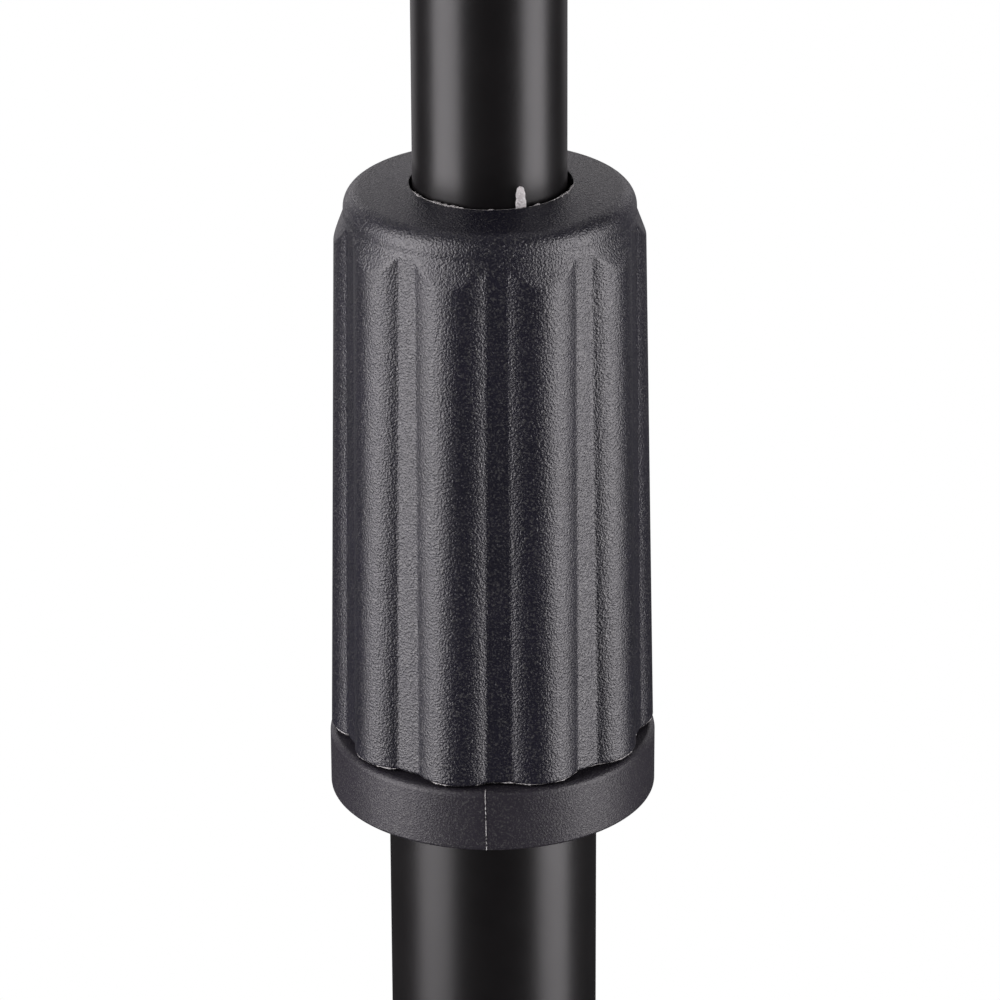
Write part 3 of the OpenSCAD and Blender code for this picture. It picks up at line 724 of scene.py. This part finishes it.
HUB_R = 22
HUB_FLOOR, HUB_TOP = span("base_hub", SHAFT_FRAME)
HUB_SHOULDER = HUB_TOP - 9
PIVOT_R = 36
PIVOT_Z = JOINTS["leg_rear_fold"]["pos_m"][2] / MM
EARS_IN, EARS_OUT = 5.35, 10.2  # sides of the ears, from a leg's middle plane
EAR_R = 10
LEG_R, LEG_BORE = 8, 6.8
LUG_HALF = 5  # half the thickness of the eye between the ears
COLLAR_START, LUG_END = 11.5, 14.5  # the lug's collar, along the leg
SPIGOT_END = 42  # the part of the lug inside the tube
LEG_END = 296
SLOPE = math.asin(-LEG_FRAMES["rear"].col[0].z / MM)


def leg_point(s, n):
    """A point s along an open leg and n above it, as radius and height about the shaft."""
    return (PIVOT_R + s * math.cos(SLOPE) + n * math.sin(SLOPE),
            PIVOT_Z - s * math.sin(SLOPE) + n * math.cos(SLOPE))


def make_hub():
    """Cast hub: a socket for the shaft, and three pairs of ears under a stop for the legs."""
    inner = HUB_R - 7
    seat = HUB_FLOOR + 8
    socket = LOWER_R + 0.25
    bm = bmesh.new()
    turned(bm, [(4.3, HUB_FLOOR), (HUB_R - 2, HUB_FLOOR), (HUB_R, HUB_FLOOR + 2),
                (HUB_R, HUB_SHOULDER - 1), (HUB_R - 3, HUB_SHOULDER), (inner, HUB_TOP),
                (socket, HUB_TOP), (socket, seat), (4.3, seat)], SHAFT_FRAME, 144)
    web = [(inner, PIVOT_Z - 13), (PIVOT_R, PIVOT_Z - EAR_R), (PIVOT_R, PIVOT_Z), leg_point(2, 9),
           leg_point(-2, 14), (inner, HUB_SHOULDER - 6)]
    boss = circle(PIVOT_R, PIVOT_Z, EAR_R, 48)
    roof = [(inner, HUB_SHOULDER - 12), leg_point(-16, LEG_R + 0.5), leg_point(22, LEG_R + 0.5),
            leg_point(21, LEG_R + 4.3), leg_point(-2, LEG_R + 8.3), (inner, HUB_SHOULDER - 2)]
    for place in LEG_FRAMES.values():
        out = place.to_3x3() @ ACROSS
        heading = Matrix.Rotation(math.atan2(out.y, out.x), 4, "Z")
        upright = SHAFT_FRAME @ heading @ STAND_UP
        for low, high in ((-EARS_OUT, -EARS_IN), (EARS_IN, EARS_OUT)):
            prism(bm, web, upright, low, high)
            prism(bm, boss, upright, low, high)
        prism(bm, roof, upright, -EARS_OUT, EARS_OUT)
    clad(moulded("hub_casting", bm, 0.45, 7), "hub_cast", "base", "base_hub")


def make_leg(name, place):
    """A leg's tube, the moulded lug that it turns on, and the spring pin through both."""
    body = "leg_" + name
    along = place @ ABOUT_X
    ends = fillet([(LEG_BORE, LUG_END, 0.2), (LEG_R, LUG_END, 0.5), (LEG_R, LEG_END, 0.3),
                   (LEG_BORE, LEG_END, 0.2)], 3)
    turned_piece(body + "_shank", ends, along, 128, "tube_paint", body, "leg_tube_" + name)

    bm = bmesh.new()
    turned(bm, [(0, -LUG_HALF), (LEG_R, -LUG_HALF), (LEG_R, LUG_HALF), (0, LUG_HALF)], place @ ABOUT_Y)
    prism(bm, [(0, -LEG_R), (12.5, -LEG_R), (12.5, LEG_R), (0, LEG_R)], place @ STAND_UP,
          -LUG_HALF, LUG_HALF)
    turned(bm, [(0, COLLAR_START), (LEG_R - 0.6, COLLAR_START), (LEG_R, COLLAR_START + 0.6),
                (LEG_R, LUG_END), (0, LUG_END)], along)
    turned(bm, [(0, COLLAR_START), (6.7, COLLAR_START), (6.7, SPIGOT_END), (0, SPIGOT_END)], along)
    clad(moulded(body + "_knuckle", bm, 0.35, 4), "lug_plastic", body, "leg_lug_" + name)

    half = LEG_R + 0.4
    pin = [(0, half - 0.5), (0.6, half - 0.4), (0.8, half), (1.3, half), (1.5, half - 0.3)]
    profile = [(r, -height) for r, height in pin] + pin[::-1]
    turned_piece(body + "_spring_pin", profile, place @ Matrix.Translation((30, 0, 0)), 40,
                 "spring_steel", body, "leg_pin_" + name)


def make_foot(name, place):
    """Rubber boot with grip grooves round it and a flat pad under it."""
    start, boot_r, groove_r = LEG_END - 36, 11, 10.25
    profile = [(0, start), (9.3, start), (9.7, start + 0.6), (boot_r, start + 7)]
    for groove in range(4):
        s = start + 11 + 4 * groove
        profile += [(boot_r, s), (groove_r, s + 0.6), (groove_r, s + 1.4), (boot_r, s + 2)]
    profile += [(boot_r, LEG_END + 2), (8, LEG_END + 5), (0, LEG_END + 5)]
    bm = bmesh.new()
    turned(bm, profile, place @ ABOUT_X, 128)
    pad = Vector(MOUNTS["foot_pad_" + name]["pos_m"])
    pad_h = (place @ Vector((LEG_END - 8, 0, 0))).z / MM - 2
    turned(bm, [(0, 0.02), (12, 0.02), (13, 0.7), (11.5, pad_h), (0, pad_h)],
           axes_frame(pad, ACROSS, AWAY))
    clad(moulded("foot_" + name + "_boot", bm, 0.38, 3), "boot_rubber", "leg_" + name, "foot_" + name)


# ---- head

TUBE_TOP = span("upper_tube", SHAFT_FRAME)[1]
TILT_Z = JOINTS["desk_tilt"]["pos_m"][2] / MM
SOCKET_R = 12.5
BARREL_R, BARREL_HALF = 12, 13
EAR_IN, EAR_OUT = 15.2, 17.7
SPOT_FACE = 11.6  # where the socket screw's head seats
SCREW_DROP = 18  # its depth below the tube's top
SCREW_FRAME = SHAFT_FRAME @ Matrix.Translation((0, 0, TUBE_TOP - SCREW_DROP)) @ ABOUT_Y
TILT_AXIS = DESK_FRAME @ ABOUT_X
TILT_BORE = 4.1  # bore of the rings on the tilt bolt


def make_socket():
    """Casting on top of the upper tube, with a barrel across it for the tilt bolt."""
    foot, bore = TUBE_TOP - 38, UPPER_R + 0.1
    bm = bmesh.new()
    turned(bm, [(0, TUBE_TOP), (bore, TUBE_TOP), (bore, foot), (SOCKET_R - 1, foot),
                (SOCKET_R, foot + 2), (SOCKET_R, TUBE_TOP + 2), (11, TUBE_TOP + 5), (11, TILT_Z),
                (0, TILT_Z)], SHAFT_FRAME, 128)
    barrel = [(0, -BARREL_HALF), (BARREL_R, -BARREL_HALF), (BARREL_R, BARREL_HALF), (0, BARREL_HALF)]
    turned(bm, barrel, SHAFT_FRAME @ Matrix.Translation((0, 0, TILT_Z)) @ ABOUT_X, 128)
    hole = bmesh.new()
    turned(hole, [(0, SPOT_FACE), (4.6, SPOT_FACE), (4.6, 20), (0, 20)], SCREW_FRAME, 64)
    casting = moulded("socket_casting", bm, 0.35, 5, cutter=finish_mesh("spot_face", hole))
    clad(casting, "hub_cast", "mast", "desk_socket")


def make_socket_screw():
    """Cap screw that clamps the socket on the upper tube."""
    top = SPOT_FACE + 5
    screw = [(0, 8), (2.5, 8), (2.5, SPOT_FACE), (4.25, SPOT_FACE), (4.25, top - 0.5),
             (3.9, top - 0.08), (3.6, top)] + socket_recess(4, top, 2.2, 1)
    turned_piece("socket_cap_screw", screw, SCREW_FRAME, 96, "black_screw", "mast", "socket_screw")


def tilt_rings(name, node, outer, spans, soft, slot, body):
    """Flat rings on the tilt bolt, one for each (start, end) along it."""
    bm = bmesh.new()
    for start, end in spans:
        section = [(TILT_BORE, start, 0), (outer, start, soft), (outer, end, soft), (TILT_BORE, end, 0)]
        turned(bm, fillet(section, 3), TILT_AXIS)
    clad(finish_mesh(name, bm), slot, body, node)


KNOB_IN, KNOB_OUT = 21, 38  # along the tilt axis
KNOB_R = 21
KNOB_POINTS = 5
POINT_SOFT = 2  # rounding where a point meets a scallop
SCALLOP_R, SCALLOP_AT = 10.5, 26.5  # the scallops' radius, and their centres' distance


def knob_radius(turn):
    """Radius of the five-pointed knob."""
    pitch = TURN / KNOB_POINTS
    off = (turn + pitch / 2) % pitch - pitch / 2
    inside = SCALLOP_R ** 2 - (SCALLOP_AT * math.sin(off)) ** 2
    reach = KNOB_R + 1 if inside <= 0 else SCALLOP_AT * math.cos(off) - math.sqrt(inside)
    return soft_min(KNOB_R, reach, POINT_SOFT)


def knob_inset(less):
    """The knob's radius as a function of the turn, with less taken off it."""
    return lambda turn: knob_radius(turn) - less


def make_knob():
    """The star knob, with a round boss towards the bracket and a cap over its insert."""
    body_in, back, front = KNOB_IN + 3, 1.5, 2.2
    profile = [(7.02, KNOB_IN), (10.5, KNOB_IN), (11, KNOB_IN + 0.5), (11, body_in)]
    profile += [(knob_inset(back - back * math.sin(a)), body_in + back - back * math.cos(a))
                for a in quarter(6)]
    profile += [(knob_inset(front - front * math.cos(a)), KNOB_OUT - front + front * math.sin(a))
                for a in quarter(8)]
    profile += [(13, KNOB_OUT), (12.6, KNOB_OUT + 0.5), (10.4, KNOB_OUT + 2.7), (9.9, KNOB_OUT + 3),
                (9, KNOB_OUT + 3), (8.6, KNOB_OUT + 2.6), (7, KNOB_OUT + 2.4), (0.02, KNOB_OUT + 2.4),
                (0.02, KNOB_OUT - 2), (7.02, KNOB_OUT - 2)]
    turned_piece("knob_star", profile, TILT_AXIS, 240, "knob_plastic", "knob", "tilt_knob")


def make_tilt_fixings():
    """The tilt bolt, the friction washers, the washer under the knob and the knob's insert."""
    head = -EAR_OUT - 5
    bolt = [(0, head)] + hex_head(12.12, -EAR_OUT, head)[::-1]
    bolt += [(4, -EAR_OUT), (4, KNOB_OUT - 3), (0, KNOB_OUT - 3)]
    turned_piece("tilt_hex_bolt", bolt, TILT_AXIS, 96, "zinc", "desk", "tilt_bolt")
    tilt_rings("friction_discs", "friction_washers", 11.5,
               [(BARREL_HALF, EAR_IN - 0.1), (0.1 - EAR_IN, -BARREL_HALF)], 0.2, "friction_liner", "mast")
    tilt_rings("knob_plain_washer", "knob_washer", 9.5,
               [(EAR_OUT, EAR_OUT + 1.5)], 0.35, "zinc", "desk")
    tilt_rings("knob_brass_insert", "knob_insert", 6.95,
               [(KNOB_IN, KNOB_OUT - 2.5)], 0.3, "brass", "knob")


# ---- desk, X across, Y back, Z up the panel

SHEET = 1.0
PANEL_BACK = -24.5
PANEL_FRONT = PANEL_BACK - SHEET
PANEL_HALF = (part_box("desk_panel")[1].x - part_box("desk_panel")[0].x) / 2 / MM
PANEL_LOW = -145
PANEL_HIGH = 185
CORNER_R = 34
RIM = 8
RIM_START = PANEL_LOW + 23  # the rim stops short of the ledge
BEND = 2.5  # outside radius of the rim's bend
HOLE_R = 4.5
HOLE_PITCH = 22
HOLE_SOFT = 0.3  # rounding of the holes' edges
HOLE_STEPS = 32
PUNCHED_LOW, PUNCHED_HIGH = PANEL_LOW + 52, PANEL_HIGH - 45  # heights of the holes' rows
PLAIN_HALF, PLAIN_LOW, PLAIN_HIGH = 56, -46, 50  # no holes, in front of the bracket
BRACKET_T = 2.5
BRACKET_RIVET_R, LEDGE_RIVET_R = 2.5, 2.0
BRACKET_HOLES = [(x, z) for x in (-38, 38) for z in (-28, 32)]
LEDGE_HOLES = [((i - 2.5) * PANEL_HALF / 3, PANEL_LOW + 12) for i in range(6)]
LEDGE_TOP = PANEL_LOW + 2
LIP_Y = PANEL_FRONT - 56
LIP_TOP = LEDGE_TOP - SHEET + 14


def perforations():
    """Centres of the staggered holes, left out in front of the bracket and along the ledge."""
    places = []
    rise = HOLE_PITCH * math.sin(math.radians(60))
    for row in range(int((PUNCHED_HIGH - PUNCHED_LOW) / rise) + 1):
        z = PUNCHED_LOW + row * rise
        count = int((2 * PANEL_HALF - 40) / HOLE_PITCH) - row % 2
        for i in range(count):
            x = (i - (count - 1) / 2) * HOLE_PITCH
            if abs(x) > PLAIN_HALF or z > PLAIN_HIGH or z < PLAIN_LOW:
                places.append((x, z))
    return places


def rim_path(inset):
    """Points round the sides and top of the panel, inset from its outline."""
    edge, top, r = PANEL_HALF - inset, PANEL_HIGH - inset, CORNER_R - inset
    corner_x, corner_z = PANEL_HALF - CORNER_R, PANEL_HIGH - CORNER_R
    arcs = [[(side * (corner_x + r * math.cos(a)), corner_z + r * math.sin(a)) for a in quarter(24)]
            for side in (-1, 1)]
    left = [(-edge, between(RIM_START, corner_z, k / 6)) for k in range(6)]
    right = [(edge, z) for _, z in left[::-1]]
    crown = [(between(-1, 1, k / 8) * corner_x, top) for k in range(1, 8)]
    return left + arcs[0] + crown + arcs[1][::-1] + right


def flat_sheet(bm, outlines, front, back):
    """The front and back faces of a flat sheet, from its outline and its holes."""
    loops = [[Vector((x, z, 0)) for x, z in outline] for outline in outlines]
    triangles = tessellate_polygon(loops)
    for y in (front, back):
        verts = [bm.verts.new(DESK_FRAME @ Vector((p.x, y, p.y))) for loop in loops for p in loop]
        for triangle in triangles:
            bm.faces.new([verts[i] for i in triangle])


def punched_edge(bm, x, z, r):
    """The wall of a hole in the panel, rounded at both faces."""
    half = SHEET / 2
    place = DESK_FRAME @ Matrix.Translation((x, PANEL_BACK - half, z)) @ ABOUT_Y
    edge = [(r + HOLE_SOFT - HOLE_SOFT * math.sin(a), half - HOLE_SOFT + HOLE_SOFT * math.cos(a))
            for a in quarter(3)]
    section = edge + [(radius, -height) for radius, height in edge[::-1]]
    grid(bm, [[place @ polar(radius, TURN * k / HOLE_STEPS, height) for k in range(HOLE_STEPS)]
              for radius, height in section])


def rim_section():
    """Section of the panel's rim, bent back from its front: (inset from the outline, depth)."""
    inside = BEND - SHEET
    end = PANEL_BACK + RIM
    section = [(BEND, PANEL_FRONT)]
    section += [(BEND - BEND * math.sin(a), PANEL_FRONT + BEND - BEND * math.cos(a))
                for a in quarter(6, first=1)]
    section += [(0, end - 0.2), (0.2, end), (0.8, end), (SHEET, end - 0.2)]
    section += [(SHEET + inside - inside * math.cos(a), PANEL_BACK + inside - inside * math.sin(a))
                for a in quarter(4)]
    return section


def make_panel():
    """Perforated sheet with punched edges round its holes and a rim folded back."""
    foot = [(-PANEL_HALF, RIM_START), (-PANEL_HALF, PANEL_LOW), (PANEL_HALF, PANEL_LOW),
            (PANEL_HALF, RIM_START)]
    holes = [(x, z, HOLE_R) for x, z in perforations()]
    holes += [(x, z, BRACKET_RIVET_R) for x, z in BRACKET_HOLES]
    holes += [(x, z, LEDGE_RIVET_R) for x, z in LEDGE_HOLES]
    outlines = [rim_path(BEND) + foot[::-1]]
    outlines += [circle(x, z, r + HOLE_SOFT, HOLE_STEPS) for x, z, r in holes]
    bm = bmesh.new()
    flat_sheet(bm, outlines, PANEL_FRONT, PANEL_BACK)
    for x, z, r in holes:
        punched_edge(bm, x, z, r)

    fold = rim_section()
    paths = [rim_path(inset) for inset, _ in fold]
    rows = [[DESK_FRAME @ Vector((path[i][0], y, path[i][1])) for path, (_, y) in zip(paths, fold)]
            for i in range(len(paths[0]))]
    grid(bm, rows, caps=True)
    tongue = [[DESK_FRAME @ Vector((x, y, z)) for y in (PANEL_FRONT, PANEL_BACK)] for x, z in foot]
    grid(bm, tongue, closed_columns=False)
    clad(finish_mesh("desk_sheet", bm, weld=False), "desk_paint", "desk", "desk_panel")


def bent_sheet(name, path, half, slot, node):
    """Sheet across the desk. Its section follows a path in Y and Z, and its ends are rounded."""
    start, end, soft = -PANEL_HALF, PANEL_HALF, 0.4 * half
    sections = [(start, soft), (start + soft / 3, soft / 3), (start + soft, 0),
                (end - soft, 0), (end - soft / 3, soft / 3), (end, soft)]
    bm = bmesh.new()
    grid(bm, [[DESK_FRAME @ Vector((x, *p)) for p in ribbon(path, half - less)]
              for x, less in sections], caps=True)
    clad(finish_mesh(name, bm), slot, "desk", node)


def make_ledge():
    """One folded sheet: lip, floor, a groove under the panel's edge, and an upstand behind it."""
    half = SHEET / 2
    floor_z = LEDGE_TOP - half
    groove_y = PANEL_FRONT - 0.3 - half
    upstand_y = PANEL_BACK + half
    path = fillet([
        (LIP_Y + half, LIP_TOP, 0), (LIP_Y + half, floor_z, 3.5), (groove_y, floor_z, 0.6),
        (groove_y, PANEL_LOW - half, 0.6), (upstand_y, PANEL_LOW - half, 0.6),
        (upstand_y, PANEL_LOW + 19, 0)])
    bent_sheet("ledge_fold", path, half, "desk_paint", "desk_ledge")


def make_ledge_trim():
    """Soft edging pushed over the lip."""
    half = 0.4
    front, back, top = LIP_Y - half, LIP_Y + SHEET + half, LIP_TOP + half
    over = fillet([(front, LIP_TOP - 5, 0), (front, top, 0.9), (back, top, 0.9), (back, LIP_TOP - 5, 0)])
    bent_sheet("lip_edging", over, half, "edging", "ledge_trim")


def make_bracket():
    """Steel channel behind the panel, its two ears bent out to the tilt bolt."""
    plate = fillet([(-48, -38, 8), (48, -38, 8), (48, 42, 8), (-48, 42, 8)], 12)
    ear = [(PANEL_BACK + 0.3, -30), (PANEL_BACK + 0.3, 34)]
    ear += [(11 * math.sin(a), 11 * math.cos(a)) for a in (math.pi * k / 24 for k in range(25))]
    sideways = Matrix(((0, 0, 1, 0), (1, 0, 0, 0), (0, 1, 0, 0), (0, 0, 0, 1)))
    bm = bmesh.new()
    prism(bm, plate, DESK_FRAME @ STAND_UP, -PANEL_BACK - BRACKET_T, -PANEL_BACK)
    for start in (-EAR_OUT, EAR_IN):
        prism(bm, ear, DESK_FRAME @ sideways, start, start + BRACKET_T)
    clad(moulded("bracket_pressing", bm, 0.42, 4), "desk_paint", "desk", "desk_bracket")


# ---- everything

def make_stand():
    """Every piece of the stand, from the clutch outwards."""
    make_grip()
    make_clutch_body()
    make_mould_line_highlight()
    make_collet()
    make_flash_highlights()
    make_tube("upper_tube_drawn", "upper_tube", UPPER_R, UPPER_BORE, "mast", SHAFT_FRAME)
    make_tube("lower_tube_drawn", "lower_tube", LOWER_R, LOWER_BORE, "base", SHAFT_FRAME)
    make_hub()
    make_base_fixings()
    make_leg_fixings()
    for name, place in LEG_FRAMES.items():
        make_leg(name, place)
        make_foot(name, place)
    make_socket()
    make_socket_screw()
    make_knob()
    make_tilt_fixings()
    make_panel()
    make_ledge()
    make_ledge_trim()
    make_bracket()
    rivets("bracket_rivet_heads", BRACKET_HOLES, BRACKET_RIVET_R, BRACKET_T, 1.8, "bracket_rivets")
    rivets("ledge_rivet_heads", LEDGE_HOLES, LEDGE_RIVET_R, SHEET, 1.4, "ledge_rivets")


def finish_frame_nodes():
    """Gives the frame's own nodes that are still shown the material of their slot."""
    for entry in frame["record"]["subparts"]:
        node = frame["nodes"][entry["node"]]
        node.data.materials.clear()
        node.data.materials.append(MATERIALS[entry["material_slot"]])


# ---- studio, in metres

FADE_START, FADE_END = 0.36, 0.72  # the floor's paper fades into the white between these
LIGHT_TINT = (1, 0.96, 0.99)


def white_to_camera(tree):
    """Strength of the white background: full for the camera, dim for every other ray."""
    path = tree.nodes.new("ShaderNodeLightPath")
    return spread(tree, path.outputs["Is Camera Ray"], 0.03, 1.0)


def make_floor():
    """Pale paper under the stand that fades into the white background."""
    bm = bmesh.new()
    bmesh.ops.create_circle(bm, cap_ends=True, segments=128, radius=1.6)
    floor = finish_mesh("floor", bm)
    tree, shader = new_material("floor_paper", 0.9, 0.1)
    fibre = noise(tree, 3, detail=4.0)
    tree.links.new(ramp(tree, fibre, [(0.3, (0.78, 0.78, 0.78)), (0.7, (0.84, 0.84, 0.84))]),
                   shader.inputs["Base Color"])
    place = tree.nodes.new("ShaderNodeTexCoord")
    length = tree.nodes.new("ShaderNodeVectorMath")
    length.operation = "LENGTH"
    fade = tree.nodes.new("ShaderNodeMapRange")
    fade.interpolation_type = "SMOOTHSTEP"
    fade.inputs["From Min"].default_value = FADE_START
    fade.inputs["From Max"].default_value = FADE_END
    white = tree.nodes.new("ShaderNodeEmission")
    blend = tree.nodes.new("ShaderNodeMixShader")
    tree.links.new(place.outputs["Object"], length.inputs[0])
    tree.links.new(length.outputs["Value"], fade.inputs["Value"])
    tree.links.new(fade.outputs["Result"], blend.inputs["Fac"])
    tree.links.new(shader.outputs["BSDF"], blend.inputs[1])
    tree.links.new(white_to_camera(tree), white.inputs["Strength"])
    tree.links.new(white.outputs["Emission"], blend.inputs[2])
    tree.links.new(blend.outputs["Shader"], tree.nodes["Material Output"].inputs["Surface"])
    floor.data.materials.append(MATERIALS["floor_paper"])
    floor.visible_glossy = False


def softbox(name, azimuth, distance, height, size, power):
    """A rectangular light that faces the shaft. Azimuth is in degrees from the front, towards +X."""
    data = bpy.data.lights.new(name, "AREA")
    data.shape = "RECTANGLE"
    data.size, data.size_y = size
    data.energy = power
    data.color = LIGHT_TINT
    light = bpy.data.objects.new(name, data)
    a = math.radians(azimuth)
    light.location = (SHAFT.x + distance * math.sin(a), SHAFT.y - distance * math.cos(a), height)
    aim = Vector((SHAFT.x, SHAFT.y, min(height, CLUTCH_Z + 0.1))) - light.location
    light.rotation_euler = aim.to_track_quat("-Z", "Y").to_euler()
    light.visible_camera = False
    bpy.context.scene.collection.objects.link(light)


def make_world():
    """White to the camera and dim to everything else, so that the softboxes shape the part."""
    world = bpy.data.worlds.new("studio")
    bpy.context.scene.world = world
    world.use_nodes = True
    tree = world.node_tree
    background = tree.nodes["Background"]
    background.inputs["Color"].default_value = (1, 1, 1, 1)
    tree.links.new(white_to_camera(tree), background.inputs["Strength"])


def make_camera():
    """Long lens at the photograph's viewing angle, close on the clutch."""
    data = bpy.data.cameras.new("camera")
    data.sensor_width = 36
    data.lens = 193.2
    data.clip_start = 0.05
    camera = bpy.data.objects.new("camera", data)
    camera.location = (SHAFT.x + 0.0009, SHAFT.y - 0.516, CLUTCH_Z + 0.2568)
    tilt = Matrix.Rotation(math.radians(90 - 23.5), 4, "X")
    roll = Matrix.Rotation(math.radians(-0.27), 4, "Z")
    camera.rotation_euler = (tilt @ roll).to_euler()
    bpy.context.scene.collection.objects.link(camera)
    bpy.context.scene.camera = camera


make_stand()
finish_frame_nodes()
make_floor()
make_world()
make_camera()
softbox("left_softbox", -67, 0.9, 0.77, (0.76, 1.55), 17)
softbox("right_softbox", 70, 0.9, 0.62, (0.62, 1.25), 11)
softbox("top_softbox", 180, 0.5, 2.2, (1.2, 1.0), 5)
softbox("back_softbox", 180, 1.2, 0.95, (1.8, 0.6), 2.2)
softbox("rear_left_softbox", -150, 1.4, 0.7, (0.8, 1.2), 1.6)
softbox("rear_right_softbox", 150, 1.4, 0.7, (0.8, 1.2), 0.9)
bpy.context.scene.view_settings.view_transform = "Standard"
